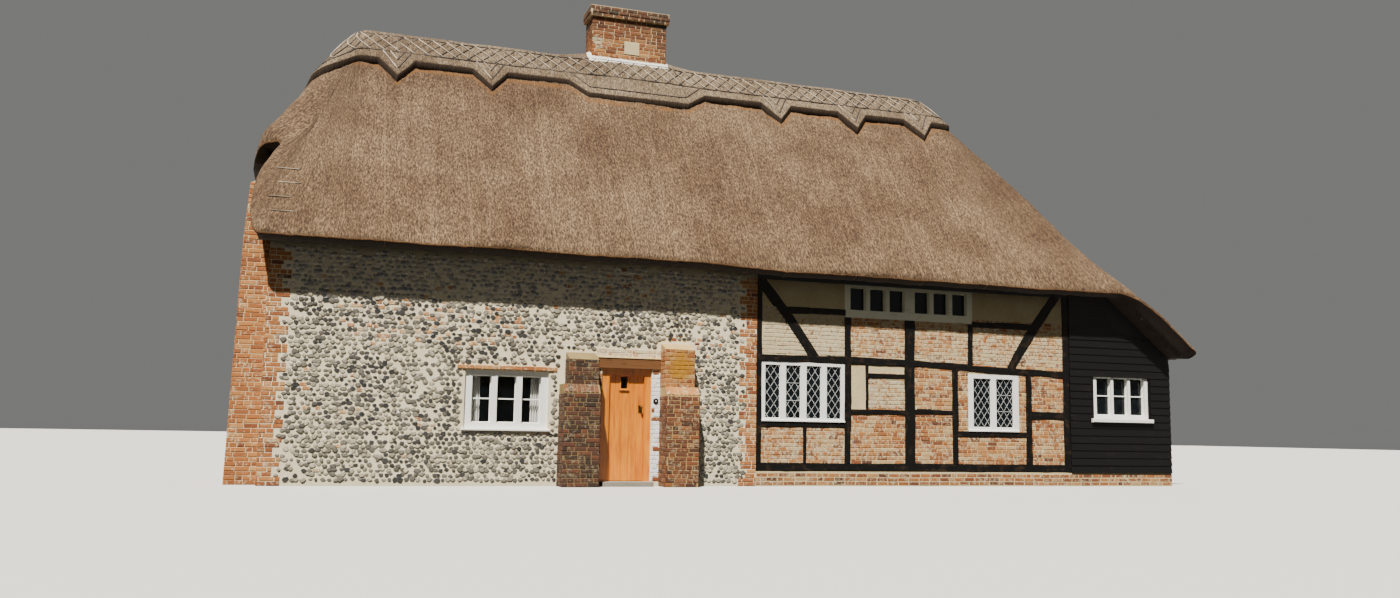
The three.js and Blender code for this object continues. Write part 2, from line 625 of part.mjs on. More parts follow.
const grooves = members([...halvedMembers, ...sillRailMembers], GAP);
const infill = (outline) => prismY(outline, FRONT + BRICK_RECESS, -FRAME_INSIDE).subtract(grooves);
const leadedLeft = WINDOWS.leaded_window_left;
const upperWindowEast = WINDOWS.upper_window.x[1];

add('infill_bay_1_upper', infill(between(westPost.east, leftPost.west,
  leadedLeft.z[1] + GAP, WALL_PLATE_UNDERSIDE)), brick);
add('infill_bay_1_lower', infill(between(westPost.east, leftPost.west,
  SILL_BEAM_TOP + GAP, leadedLeft.z[0] - GAP)), brick);
add('infill_bay_2', infill(between(leftPost.east, middlePost.west,
  SILL_BEAM_TOP + GAP, UPPER_WINDOW_SILL - GAP)), brick);
add('infill_bay_3', infill([
  [middlePost.east + GAP, SILL_BEAM_TOP + GAP], [eastPost.west - GAP, SILL_BEAM_TOP + GAP],
  [eastPost.west - GAP, WALL_PLATE_UNDERSIDE], [upperWindowEast + GAP, WALL_PLATE_UNDERSIDE],
  [upperWindowEast + GAP, UPPER_WINDOW_SILL - GAP], [middlePost.east + GAP, UPPER_WINDOW_SILL - GAP],
]).subtract(windowHole('leaded_window_right', FRONT, -FRAME_INSIDE)), brick);

// Rear of the timber frame: sill, posts, middle rail and plate over one slab of brick infill

const rearFoot = PLINTH_TOP + GAP;
const rearTop = EAVE_SOFFIT - GAP;
const rearMembers = [
  rectangle(FRAME_WEST, FRAME_EAST, rearFoot, SILL_BEAM_TOP),
  rectangle(FRAME_WEST, FRAME_EAST, WALL_PLATE_UNDERSIDE, rearTop),
  rectangle(...REAR_RAIL),
  ...Object.values(POSTS).map(({ west, east }) => rectangle(west, east, rearFoot, rearTop)),
  rectangle(...REAR_SILL_RAIL),
];
const rearMember = (outline, grow) => prismY(grown(outline, grow),
  HALF_DEPTH - TIMBER_DEPTH - grow, HALF_DEPTH + grow);
add('rear_timber_frame', joined(rearMembers.map((outline) => rearMember(outline, 0))), timber);
add('rear_infill', block(FRAME_WEST, FRAME_EAST, FRAME_INSIDE, HALF_DEPTH - BRICK_RECESS,
  PLINTH_TOP + GAP, ABOVE_ROOF)
  .intersect(rooms)
  .subtract(joined(rearMembers.map((outline) => rearMember(outline, GAP))))
  .subtract(windowHole('rear_leaded_window', FRAME_INSIDE, HALF_DEPTH)), brick);

// Weatherboarded walls of the outshot

const boardedInside = HALF_DEPTH - BOARDED_WALL;
const outshotSide = (y0, y1) =>
  block(FRAME_EAST + GAP, EAST_FACE, y0, y1, PLINTH_TOP + GAP, ABOVE_ROOF).intersect(rooms);
add('outshot_front_wall', outshotSide(FRONT, -boardedInside)
  .subtract(windowHole('outshot_window', FRONT, -boardedInside)), boarding);
add('outshot_rear_wall', outshotSide(boardedInside, HALF_DEPTH), boarding);
add('outshot_east_wall', block(EAST_FACE - BOARDED_WALL, EAST_FACE,
  -boardedInside + GAP, boardedInside - GAP, PLINTH_TOP + GAP, ABOVE_ROOF).intersect(rooms), boarding);

// Windows: a frame with its mullions, and one sheet of glass behind its lights

function lightSpans({ x, lights, stile, mullion }, middlePostWidth) {
  const gaps = Array.from({ length: lights - 1 }, (_, i) =>
    (middlePostWidth && i === lights / 2 - 1 ? middlePostWidth : mullion));
  const clear = x[1] - x[0] - 2 * stile - gaps.reduce((sum, gap) => sum + gap, 0);
  const width = clear / lights;
  const spans = [];
  let start = x[0] + stile;
  for (let i = 0; i < lights; i += 1) {
    spans.push([start, start + width]);
    start += width + (gaps[i] ?? 0);
  }
  return spans;
}

function addWindow(name, face, inward, middlePostWidth = 0) {
  const sizes = WINDOWS[name];
  const { x, z, head, foot, stile } = sizes;
  const y0 = inward > 0 ? face : face - WINDOW_DEPTH;
  const spans = lightSpans(sizes, middlePostWidth);
  const lights = joined(spans.map(([x0, x1]) =>
    block(x0, x1, y0 - PAST, y0 + WINDOW_DEPTH + PAST, z[0] + foot, z[1] - head)));
  const back = inward > 0 ? face + WINDOW_DEPTH : face - WINDOW_DEPTH;
  const paneBack = back + inward * (GAP + PANE);
  const paneFront = back + inward * GAP;
  add(`${name}_frame`, block(x[0] + GAP, x[1] - GAP, y0, y0 + WINDOW_DEPTH, z[0] + GAP, z[1] - GAP)
    .subtract(lights), whitePaint);
  add(`${name}_glass`, block(x[0] + stile - PANE_LAP, x[1] - stile + PANE_LAP,
    Math.min(paneFront, paneBack), Math.max(paneFront, paneBack),
    z[0] + foot - PANE_LAP, z[1] - head + PANE_LAP), glass);
}

addWindow('casement_window', FRONT + FLINT_REVEAL, 1);
addWindow('leaded_window_left', FRONT + FRAME_REVEAL, 1);
addWindow('leaded_window_right', FRONT + FRAME_REVEAL, 1);
addWindow('upper_window', FRONT + FRAME_REVEAL, 1, UPPER_WINDOW_POST);
addWindow('outshot_window', FRONT + FRAME_REVEAL, 1);
addWindow('rear_casement_window', HALF_DEPTH - FLINT_REVEAL, -1);
addWindow('rear_leaded_window', HALF_DEPTH - FRAME_REVEAL, -1);

// A pair of curtains drawn back inside the casement window

const curtainFront = FRONT + FLINT_REVEAL + WINDOW_DEPTH + CURTAIN.behindFrame;
const [curtainFoot, curtainHead] = WINDOWS.casement_window.z;
const curtain = (x0, x1) => block(x0, x1, curtainFront, curtainFront + CURTAIN.thickness,
  curtainFoot + CURTAIN.overSill, curtainHead - GAP);
const [curtainWest, curtainEast] = WINDOWS.casement_window.x;
add('curtain_left', curtain(curtainWest + GAP, curtainWest + CURTAIN.width), linen);
add('curtain_right', curtain(curtainEast - CURTAIN.width, curtainEast - GAP), linen);

// Floors, laid between the walls and round the chimney

function floorOutline(framedInside, eastEnd) {
  return [
    [WEST_FACE + FLINT_WALL + GAP, -FLINT_INSIDE + GAP], [FRAME_WEST + GAP, -FLINT_INSIDE + GAP],
    [FRAME_WEST + GAP, -framedInside + GAP], [eastEnd, -framedInside + GAP],
    [eastEnd, framedInside - GAP], [FRAME_WEST + GAP, framedInside - GAP],
    [FRAME_WEST + GAP, FLINT_INSIDE - GAP], [WEST_FACE + FLINT_WALL + GAP, FLINT_INSIDE - GAP],
  ];
}

const groundFloorPlan = floorOutline(PLINTH_INSIDE, EAST_FACE - PLINTH_WALL - GAP);
const upperFloorPlan = floorOutline(FRAME_INSIDE, FRAME_EAST);
add('ground_floor', prismZ(groundFloorPlan, 0, GROUND_FLOOR_TOP)
  .subtract(chimneyBlock(GAP)), stone);
add('upper_floor', prismZ(upperFloorPlan, UPPER_FLOOR.underside, UPPER_FLOOR.top)
  .subtract(chimneyBlock(GAP)), floorboards);

export default cottage;
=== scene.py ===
# %% [markdown]
# # A thatched cottage
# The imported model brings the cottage's real solids: walls, timbers, windows, door, chimney and roof.
# This script dresses them: straw, flints, bricks, boards, leads and paint are made here, true to scale,
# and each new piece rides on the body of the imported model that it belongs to.

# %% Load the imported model
import math

import bmesh
import bpy
import numpy as np
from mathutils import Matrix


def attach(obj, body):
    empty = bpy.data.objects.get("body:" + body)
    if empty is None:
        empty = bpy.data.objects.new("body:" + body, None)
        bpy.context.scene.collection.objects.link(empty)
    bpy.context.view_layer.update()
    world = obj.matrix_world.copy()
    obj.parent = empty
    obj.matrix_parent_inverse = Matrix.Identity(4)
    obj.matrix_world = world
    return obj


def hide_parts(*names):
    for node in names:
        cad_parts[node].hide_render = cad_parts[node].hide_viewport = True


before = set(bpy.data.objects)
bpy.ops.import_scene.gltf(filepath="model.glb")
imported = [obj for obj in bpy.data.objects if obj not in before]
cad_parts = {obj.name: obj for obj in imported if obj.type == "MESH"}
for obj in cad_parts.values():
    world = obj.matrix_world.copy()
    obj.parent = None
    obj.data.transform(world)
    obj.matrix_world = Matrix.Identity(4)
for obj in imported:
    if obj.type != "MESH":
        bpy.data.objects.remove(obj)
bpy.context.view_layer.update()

# %% [markdown]
# ## Camera
# The picture was taken with a wide lens at about waist height, turned 19 degrees to the right and tipped up
# 6.7 degrees. The vanishing points of the walls gave these numbers.
# The camera's axes are worked out from them, which is safer than turning it by hand.

# %% The photograph's view
TURN = math.radians(19.01)
TIP = math.radians(6.739)
ROLL = 0.0165
STAND = np.array([-8.15, -22.174, 0.95])
FOCAL_PIXELS, IMAGE_WIDTH, SENSOR = 1130.0, 1400.0, 36.0


def add_object(name, data, axes=((1, 0, 0), (0, 1, 0), (0, 0, 1)), place=(0, 0, 0)):
    """Puts data into the scene as an object with the directions of its three axes and its place."""
    made = bpy.data.objects.new(name, data)
    bpy.context.scene.collection.objects.link(made)
    pose = np.eye(4)
    pose[:3, :3], pose[:3, 3] = np.transpose(axes), place
    made.matrix_world = pose.T.tolist()
    return made


def unit(vectors):
    """The same directions with length 1; a vector of no length stays as it is."""
    return vectors / np.maximum(np.linalg.norm(vectors, axis=-1, keepdims=True), 1e-9)


right = np.array([math.cos(TURN), -math.sin(TURN), 0.0])
ahead = np.array([math.sin(TURN) * math.cos(TIP), math.cos(TURN) * math.cos(TIP), math.sin(TIP)])
above = np.cross(right, ahead)
rolled = (right * math.cos(ROLL) + above * math.sin(ROLL), above * math.cos(ROLL) - right * math.sin(ROLL))
lens = bpy.data.cameras.new("lane_camera")
lens.lens, lens.sensor_width = FOCAL_PIXELS / IMAGE_WIDTH * SENSOR, SENSOR
bpy.context.scene.camera = add_object("lane_camera", lens, (*rolled, -ahead), STAND)
print("lens", round(lens.lens, 2), "mm")

# %% [markdown]
# ## Nodes and colours
# Every finish is a small network of shader nodes. One function adds a node, sets its choices and joins its
# inputs, and another turns a colour written as sRGB hex into the linear numbers that the shader works in.

# %% Helpers for finishes


def rgb(code):
    """Linear colour from sRGB hex: each channel c becomes ((c + 0.055) / 1.055) to the power 2.4."""
    channels = [int(code[i:i + 2], 16) / 255 for i in (1, 3, 5)]
    return [c / 12.92 if c <= 0.04045 else ((c + 0.055) / 1.055) ** 2.4 for c in channels] + [1.0]


def add_node(tree, kind, *values, out=0, **named):
    """Adds one node and returns an output of it. values fill its first sockets (None skips one), names with a
    capital are sockets and names without are settings. A value can be another node's output."""
    node = tree.nodes.new("ShaderNode" + kind)
    for name, value in [*enumerate(values), *named.items()]:
        if isinstance(name, str) and name[0].islower():
            setattr(node, name, value)
            continue
        socket = node.inputs[name.replace("_", " ") if isinstance(name, str) else name]
        if isinstance(value, bpy.types.NodeSocket):
            tree.links.new(value, socket)
        elif value is not None:
            socket.default_value = value
    return node.outputs if out is None else node.outputs[out]


def new_finish(name, roughness, **sockets):
    """A new material with the values that hold all over it. Returns it, its nodes and the object coordinates."""
    material = bpy.data.materials.new(name)
    material.use_nodes = True
    tree = material.node_tree
    for socket, value in {"Roughness": roughness, **sockets}.items():
        tree.nodes["Principled BSDF"].inputs[socket.replace("_", " ")].default_value = value
    return material, tree, add_node(tree, "TexCoord", out="Object")


def wire(tree, colour, height=None, distance=0.004, strength=0.8):
    """Joins a colour to the surface shader, and a height as bump."""
    surface = tree.nodes["Principled BSDF"]
    tree.links.new(colour, surface.inputs["Base Color"])
    if height is not None:
        bump = add_node(tree, "Bump", Height=height, Distance=distance, Strength=strength)
        tree.links.new(bump, surface.inputs["Normal"])


def ramp(tree, factor, *stops):
    """Colours placed along a 0 to 1 factor: each stop is (place, hex)."""
    colour = add_node(tree, "ValToRGB", factor)
    row = colour.node.color_ramp.elements
    while len(row) < len(stops):
        row.new(0.5)
    for element, (place, code) in zip(row, stops):
        element.position, element.color = place, rgb(code)
    return colour


def blend(tree, factor, first, second, mode="MIX"):
    """Mixes two colours by a factor."""
    return add_node(tree, "Mix", factor, *[None] * 5, first, second, out=2, data_type="RGBA", blend_type=mode)


def cloudy_finish(name, roughness, cloud, *stops, bump=(), **sockets):
    """A finish whose tones, each (place, hex), drift into each other in clouds. cloud is the noise's scale,
    detail and roughness. bump is how far the clouds stand out and how strongly."""
    material, tree, world = new_finish(name, roughness, **sockets)
    spread = add_node(tree, "TexNoise", world, Scale=cloud[0], Detail=cloud[1], Roughness=cloud[2])
    wire(tree, ramp(tree, spread, *stops), *((spread, *bump) if bump else ()))
    return material


def drawn_out(tree, place, stretch, **sockets):
    """Noise drawn out along an axis: its place is multiplied by another number each way."""
    place = add_node(tree, "VectorMath", place, stretch, operation="MULTIPLY")
    return add_node(tree, "TexNoise", place, Scale=1.0, **sockets)


# %% [markdown]
# ## Floor and light
# A plain pale floor and an even studio sky show the cottage on its own. A sun stands high at the front
# left, so that the eaves throw the same deep shadow on the walls as in the picture. A pale floor would light
# that shadow from below, so the floor is left out of the diffuse bounces, and the sky is dim below the horizon.

# %% Stage
FLOOR_REACH, SQUARE = 150.0, ((-1, -1), (1, -1), (1, 1), (-1, 1))
floor_mesh = bpy.data.meshes.new("studio_floor")
floor_mesh.from_pydata([(x * FLOOR_REACH, y * FLOOR_REACH, 0) for x, y in SQUARE], [], [(0, 1, 2, 3)])
floor = add_object("studio_floor", floor_mesh)
floor_mesh.materials.append(new_finish("pale matt floor", 0.9, Base_Color=rgb("#c6c4bf"))[0])
floor.visible_diffuse = False

sky = bpy.data.worlds.new("studio sky")
sky.use_nodes = True
background = sky.node_tree.nodes["Background"]
way = add_node(sky.node_tree, "TexCoord", out="Generated")
_, _, up = add_node(sky.node_tree, "SeparateXYZ", way, out=None)
over_horizon = add_node(sky.node_tree, "MapRange", up, -0.12, 0.0)
dusk = blend(sky.node_tree, over_horizon, rgb("#55534f"), rgb("#e4e4e1"))
sky.node_tree.links.new(dusk, background.inputs["Color"])
background.inputs["Strength"].default_value = 0.25
bpy.context.scene.world = sky


def add_sun(name, strength, spread, towards, colour=(1.0, 1.0, 1.0)):
    """A sun lamp whose light travels along a direction; spread is its apparent size in degrees."""
    lamp = bpy.data.lights.new(name, "SUN")
    lamp.energy, lamp.angle, lamp.color = strength, math.radians(spread), colour
    back = -unit(towards)
    side = unit(np.cross((0, 0, 1), back))
    add_object(name, lamp, (side, np.cross(back, side), back))


add_sun("key_sun", 12.2, 1.2, (0.28, 0.46, -0.92), (1.0, 0.965, 0.89))
add_sun("back_fill", 0.35, 40, (-0.4, -0.9, -0.5))
print("lights: one key sun, one fill")

# %% [markdown]
# ## Mesh and noise helpers
# Each new piece is a surface worked out as arrays. `make_piece` puts points and faces into a mesh and says which
# body the piece rides on. `noise` is smooth value noise, the base of every uneven surface here.

# %% Helpers for pieces


def make_piece(name, shape, finish, body="house", replaces=(), smooth=False, values=None, weld=False):
    """A piece from its shape, (points, faces, ...); values go on its points, and weld joins equal points."""
    points, faces = np.reshape(shape[0], (-1, 3)), shape[1:]
    mesh = bpy.data.meshes.new(name)
    corners = np.concatenate([f.ravel() for f in faces]).astype(np.int32)
    sizes = np.concatenate([np.full(len(f), f.shape[1]) for f in faces])
    mesh.vertices.add(len(points))
    mesh.vertices.foreach_set("co", np.asarray(points, np.float32).ravel())
    mesh.loops.add(len(corners))
    mesh.loops.foreach_set("vertex_index", corners)
    mesh.polygons.add(len(sizes))
    mesh.polygons.foreach_set("loop_start", np.concatenate([[0], np.cumsum(sizes)[:-1]]).astype(np.int32))
    mesh.polygons.foreach_set("use_smooth", np.full(len(sizes), smooth))
    for label, array in (values or {}).items():
        single = np.size(array) == len(points)
        layer = mesh.attributes.new(label, "FLOAT" if single else "FLOAT_VECTOR", "POINT")
        layer.data.foreach_set("value" if single else "vector", np.asarray(array, np.float32).ravel())
    mesh.update(calc_edges=True)
    if weld:
        joined = bmesh.new()
        joined.from_mesh(mesh)
        bmesh.ops.remove_doubles(joined, verts=joined.verts, dist=2e-5)
        joined.to_mesh(mesh)
        joined.free()
    mesh.validate()
    mesh.materials.append(finish)
    made = add_object(name, mesh)
    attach(made, body)
    if replaces:
        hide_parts(*replaces)
    print(name, len(points), "points", int((sizes - 2).sum()), "triangles")
    return made


def noise(points, cell, seed=0):
    """Smooth value noise from 0 to 1: random values on a lattice of cells, blended by 3t^2 - 2t^3."""
    spot = np.asarray(points, float) / cell
    base = np.floor(spot).astype(np.int64)
    part = spot - base
    part = part * part * (3 - 2 * part)
    primes = np.array([73856093, 19349663, 83492791][:spot.shape[-1]], np.int64)
    total = np.zeros(spot.shape[:-1])
    for corner in np.ndindex(*(2,) * spot.shape[-1]):
        keys = ((base + corner) * primes).sum(-1) + seed * 2654435
        keys = (keys ^ (keys >> 13)) * 1274126177
        value = ((keys ^ (keys >> 16)) & 65535) / 65535
        total += value * np.prod(np.where(np.array(corner) == 1, part, 1 - part), axis=-1)
    return total


def bumps(points, *waves):
    """Unevenness about zero, in metres: a sum of noises, each (size, cell, seed)."""
    return sum(size * (noise(points, cell, seed) - 0.5) for size, cell, seed in waves)


def grid_faces(rows, columns, closed=0, ring=0):
    """Quads of a rows by columns grid; closed joins its last column to the first, ring its last row."""
    index = np.pad(np.arange(rows * columns).reshape(rows, columns), ((0, ring), (0, closed)), mode="wrap")
    return np.stack([index[:-1, :-1], index[:-1, 1:], index[1:, 1:], index[1:, :-1]], axis=-1).reshape(-1, 4)


def join_meshes(parts):
    """One list of points and one of faces from several (points, faces) pairs."""
    starts = np.cumsum([0] + [len(points) for points, _ in parts[:-1]])
    return (np.concatenate([points for points, _ in parts]),
            np.concatenate([faces + first for (_, faces), first in zip(parts, starts)]))


def travelled(points):
    """Distance from the first row of points to each row, along the way between them."""
    return np.linalg.norm(np.diff(points, axis=0, prepend=points[:1]), axis=-1).cumsum(axis=0)


def at_height(plan, z):
    """Points from their places in plan and a height for each, or for all."""
    return np.concatenate([plan, np.broadcast_to(z, plan.shape[:-1])[..., None]], axis=-1)


# %% [markdown]
# ## Thatch
# The coat is long straw laid in courses and combed down, about 0.4 m thick, with soft rolled hips. It could be
# built from planes like the solids, but thatch has no sharp edges. Here its height is one formula over the plan:
# the lowest of the slopes, with a smooth minimum that rolls one slope into the next.
# Rays run from the ridge line to the edge of the roof, so that grid lines follow the straws down every slope.

# %% Shape of the roof
MAIN, HALF_HIP, HIP, CATSLIDE = 1.3668, 1.68, 1.69, 0.795     # metres that each slope rises in one
RIDGE_Z, RIDGE_HALF, RIDGE_X = 8.45, 0.09, (-7.56, 4.93)
HALF_HIP_X, HALF_HIP_Z = -9.02, 6.16
CATSLIDE_X, CATSLIDE_Z = 7.32, 4.41         # where the hip meets the catslide
EAVE_Y, WEST_VERGE, EAST_DRIP = 3.35, -9.12, 9.35
CORNER = 0.12
WALL, GABLE, EAST_WALL = 2.9, 8.85, 8.95    # distance of each wall's face from the middle of the plan
WALL_TOP, GABLE_TOP = 3.92, 5.36


def smooth_min(a, b, width):
    """The smaller of a and b, rounded where they differ by less than width."""
    share = np.clip(0.5 + 0.5 * (b - a) / width, 0, 1)
    return b * (1 - share) + a * share - width * share * (1 - share)


def roof_top(spot, roll=0.5):
    """Height of the thatch over spots in plan: main slopes, west half hip, east hip and catslide."""
    x, y = spot[..., 0], spot[..., 1]
    main = RIDGE_Z - (np.sqrt(y * y + 0.12 ** 2) - RIDGE_HALF) * MAIN
    half_hip = HALF_HIP_Z + (x - HALF_HIP_X) * HALF_HIP - 8.0 * np.clip(HALF_HIP_X - x, 0, 0.25) ** 2
    hip = RIDGE_Z - (x - RIDGE_X[1]) * HIP
    catslide = CATSLIDE_Z - (x - CATSLIDE_X) * CATSLIDE
    east = -smooth_min(-hip, -catslide, 0.5)
    crown = np.clip((x - 3.8) / 0.8, 0, 1) * np.clip((1.1 - np.abs(y)) / 0.8, 0, 1)
    return smooth_min(main, smooth_min(half_hip, east, 0.3), roll * (1 + 0.9 * crown))


def roof_under(spot):
    """Height of the underside of the thatch: flat soffits outside the walls, slopes inside."""
    x, y = spot[..., 0], spot[..., 1]
    main = WALL_TOP + np.maximum(WALL - np.abs(y), 0) * MAIN
    west = np.where(x < -GABLE, GABLE_TOP, 5.377 + 2.05 * (x + GABLE))
    hip = 3.703 - HIP * (x - CATSLIDE_X)
    catslide = 2.654 + CATSLIDE * np.maximum(EAST_WALL - x, 0)
    return np.minimum(main, np.minimum(west, np.maximum(hip, catslide)))


# %% Edge of the roof in plan
# Distance from the ridge line and x of the west edge: the lip of the half hip, the notch, and the verge
WEST_EDGE = np.array([(0.0, -9.25), (1.50, -9.25), (1.78, -9.225), (1.91, -9.14), (1.96, -9.00), (1.99, -8.83),
                      (2.03, -8.80), (2.15, -8.95), (2.41, -9.12), (2.60, -9.17), (2.95, -9.18), (3.23, -9.13)])


def west_line(step):
    """The west edge from the rear to the front at equal steps along its length, its corners eased."""
    y = np.linspace(EAVE_Y - CORNER, CORNER - EAVE_Y, 4001)
    line = np.stack([np.interp(np.abs(y), *WEST_EDGE.T), y], axis=1)
    length = travelled(line)
    even = np.linspace(0, length[-1], int(length[-1] / step))
    line = np.stack([np.interp(even, length, line[:, i]) for i in (0, 1)], axis=1)
    for _ in range(2):
        line[1:-1] = (line[:-2] + 2 * line[1:-1] + line[2:]) / 4
    return line


def roof_edge(step_long=0.055, step_end=0.065):
    """Points along the drip line, anticlockwise seen from above, with rounded corners and the west notches."""
    lines = []
    corners = np.array([(WEST_VERGE, -EAVE_Y), (EAST_DRIP, -EAVE_Y), (EAST_DRIP, EAVE_Y), (WEST_VERGE, EAVE_Y)])
    for start, end, step in zip(corners, np.roll(corners, -1, axis=0), (step_long, step_end, step_long, None)):
        length = np.linalg.norm(end - start)
        along = (end - start) / length
        if step:
            t = np.linspace(CORNER, length - CORNER, int((length - 2 * CORNER) / step))
            lines.append(start + along * t[:, None])
        else:
            lines.append(west_line(0.040))
        angle = np.linspace(0, np.pi / 2, 9)[1:-1]
        left = np.array([-along[1], along[0]])
        middle = end - along * CORNER + left * CORNER
        lines.append(middle + CORNER * (along * np.sin(angle)[:, None] - left * np.cos(angle)[:, None]))
    return np.concatenate(lines)


drip = roof_edge()
ahead_of = np.roll(drip, -1, axis=0) - np.roll(drip, 1, axis=0)
inward = unit(ahead_of[:, ::-1] * [-1, 1])
edge_length = travelled(drip)
edge_total = edge_length[-1] + np.linalg.norm(drip[0] - drip[-1])
print("roof edge:", len(drip), "points,", round(float(edge_total), 1), "m")


def wound(distance, total, down):
    """Straw coordinates that close: the distance round the roof wound onto a circle, and the way down."""
    angle = distance * 2 * np.pi / total
    radius = total / (2 * np.pi)
    angle, down = np.broadcast_arrays(angle, down)
    return np.stack([radius * np.cos(angle), radius * np.sin(angle), down], axis=-1)


# %% Rays from the ridge to the edge
ROWS = 92
brow = drip + inward * 0.030
ridge_point = np.stack([np.clip(drip[:, 0], *RIDGE_X), np.zeros(len(drip))], axis=1)
fall = np.linspace(0, 1, ROWS) ** 0.9

# Rays near a notch are bowed, so that they reach the verge across its line instead of along it
knee = (ridge_point + brow) / 2
for side in (-1, 1):
    tip_x = np.where((drip[:, 1] * side > 1.9) & (drip[:, 1] * side < 2.2) & (drip[:, 0] < -8), drip[:, 0], -99)
    away = (edge_length - edge_length[tip_x.argmax()]) * -side
    away = (away + edge_total / 2) % edge_total - edge_total / 2
    bow = np.where(away > 0, np.exp(-(away / 1.1) ** 4), np.exp(-(away / 0.42) ** 2))
    knee[:, 1] += 0.46 * bow * brow[:, 1]
f = fall[:, None, None]
plan = ridge_point * (1 - f) ** 2 + knee * 2 * f * (1 - f) + brow * f ** 2
coat = at_height(plan, roof_top(plan))

# Straw coordinates: metres across the straws, and metres down the slope
reach = travelled(coat)
straw = wound(edge_length, edge_total, reach)

# %% Uneven surface of the coat


def surface_normals(surface):
    """Unit normals of a grid of points, closed along its columns, pointing up."""
    down = np.gradient(surface, axis=0)
    side = np.roll(surface, -1, axis=1) - np.roll(surface, 1, axis=1)
    normal = unit(np.cross(side, down))
    normal = np.where(normal[..., 2:] < 0, -normal, normal)
    normal[0] = (0, 0, 1)
    return normal


# The last 0.25 m turns down at the verge, and a little at the eaves, most over the timber frame
verge_share = np.clip((-8.75 - drip[:, 0]) / 0.2, 0, 1) * np.clip((3.30 - np.abs(drip[:, 1])) / 0.35, 0, 1)
framed_share = np.clip((drip[:, 0] + 1.5) / 1.5, 0, 1) * np.clip((8.6 - drip[:, 0]) / 1.5, 0, 1)
turn_down = 0.03 + 0.08 * verge_share + 0.06 * framed_share
coat[..., 2] -= turn_down * np.clip((fall[:, None] - 0.91) / 0.09, 0, 1) ** 2
lumps = bumps(coat, (0.050, 1.3, 1), (0.026, 0.45, 2))
combed = bumps(straw * [1, 1, 0.22], (0.014, 0.07, 3)) + bumps(straw * [1, 1, 0.5], (0.012, 0.14, 4))
combed = combed * np.clip(reach / 0.1, 0, 1)
coat = coat + surface_normals(coat) * (0.018 + lumps + combed)[..., None]

# %% Eave, verge and underside
under_ridge = np.stack([np.clip(drip[:, 0], -7.627, 4.846), np.zeros(len(drip))], axis=1)
ragged = bumps(np.stack([edge_length, edge_length * 0], 1), (0.016, 0.11, 5))
brow_z = coat[-1, :, 2]
bottom_z = np.minimum(roof_under(drip), brow_z - 0.12)
lip = np.clip((2.12 - np.abs(drip[:, 1])) / 0.12, 0, 1) * (drip[:, 0] < -8.5)
bottom_z = bottom_z * (1 - lip) + (brow_z - 0.15) * lip
tuck = 0.15 + 0.17 * ((drip[:, 0] < -8.8) & (np.abs(drip[:, 1]) < 2.03))
tuck = (np.roll(tuck, 1) + tuck + np.roll(tuck, -1)) / 3
cut_foot = drip + inward * tuck[:, None]
wall = np.clip(cut_foot, [-8.86, -2.91], [8.96, 2.91])
bend_share = np.clip((wall[:, 0] - 7.044) / (wall[:, 0] - under_ridge[:, 0] + 1e-9), 0.35, 1)
bend = wall + (under_ridge - wall) * bend_share[:, None]
rings = [
    at_height(drip + inward * 0.010, brow_z - 0.030),
    at_height(drip + inward * 0.001, brow_z - 0.058 + ragged),
    at_height(drip + inward * 0.012, brow_z - 0.072 + ragged),
    at_height((drip + cut_foot) / 2, (brow_z - 0.075) * 0.45 + bottom_z * 0.55 + ragged),
    at_height(cut_foot, bottom_z + ragged),
    at_height(cut_foot + inward * 0.04, bottom_z - 0.004 + ragged),
    at_height(wall, roof_under(wall) - 0.004),
    at_height(bend, roof_under(bend)),
    at_height(under_ridge, roof_under(under_ridge)),
]
coat_points = np.concatenate([coat, rings])
rows, columns = coat_points.shape[:2]
print("coat grid", rows, "by", columns, "and its underside joins the wall tops")

# %% [markdown]
# ## Straw finish
# Weathered wheat straw: thousands of hollow stems, silver-grey outside and honey-coloured where rain hasn't
# bleached them. A stem is about 5 mm wide, too fine for this distance, so the flecks are drawn as bundles of
# 12 to 40 mm. They are stretched down the slope by the straw coordinates that the coat carries.

# %% Straw


def straw_finish(name, dark, middle, light, stain, bundle=0.024, depth=0.026, netting=0.0):
    """Flecks and streaks of straw in three tones, broad weathered patches, a stain where the piece says so that
    runs on to near black as painted shade on cut faces and undersides, and the joints of the wire netting, which
    show as pale lines down the slope every 1.42 m."""
    material, tree, world = new_finish(name, 0.92, Specular_IOR_Level=0.25)
    place = add_node(tree, "Attribute", attribute_name="straw", out="Vector")
    flecks = drawn_out(tree, place, (1 / bundle, 1 / bundle, 0.35 / bundle), Detail=3.0, Roughness=0.8)
    streaks = drawn_out(tree, place, (7.0, 7.0, 0.8), Detail=4.0, Roughness=0.6)
    patches = add_node(tree, "TexNoise", world, Scale=0.7, Detail=3.0, Roughness=0.55)
    colour = ramp(tree, flecks, (0.33, dark), (0.5, middle), (0.67, light))
    colour = blend(tree, 0.55, colour, ramp(tree, streaks, (0.30, "#b5a99e"), (0.68, "#ffffff")), "MULTIPLY")
    colour = blend(tree, 0.85, colour, ramp(tree, patches, (0.34, "#c3b8b2"), (0.62, "#ffffff")), "MULTIPLY")
    stain_and_shade = add_node(tree, "Attribute", attribute_name="stain", out="Fac")
    # Stain values above 0.84 run on from the stain colour to near black: painted shade on cut faces and
    # undersides.
    colour = blend(tree, stain_and_shade, colour, ramp(tree, stain_and_shade, (0.84, stain), (0.95, "#1a110b")))
    east, _, _ = add_node(tree, "SeparateXYZ", world, out=None)
    joint = add_node(tree, "Math", east, 0.71, operation="PINGPONG")
    joint = add_node(tree, "MapRange", Value=joint, From_Min=0.014, From_Max=0.005, To_Max=netting)
    on_slope = add_node(tree, "Math", east, -1.3, 5.9, operation="COMPARE")
    joint = add_node(tree, "Math", joint, patches, operation="MULTIPLY")
    joint = add_node(tree, "Math", joint, on_slope, operation="MULTIPLY")
    stems = add_node(tree, "Math", flecks, streaks, operation="ADD")
    wire(tree, blend(tree, joint, colour, rgb(light)), stems, depth, 0.9)
    return material


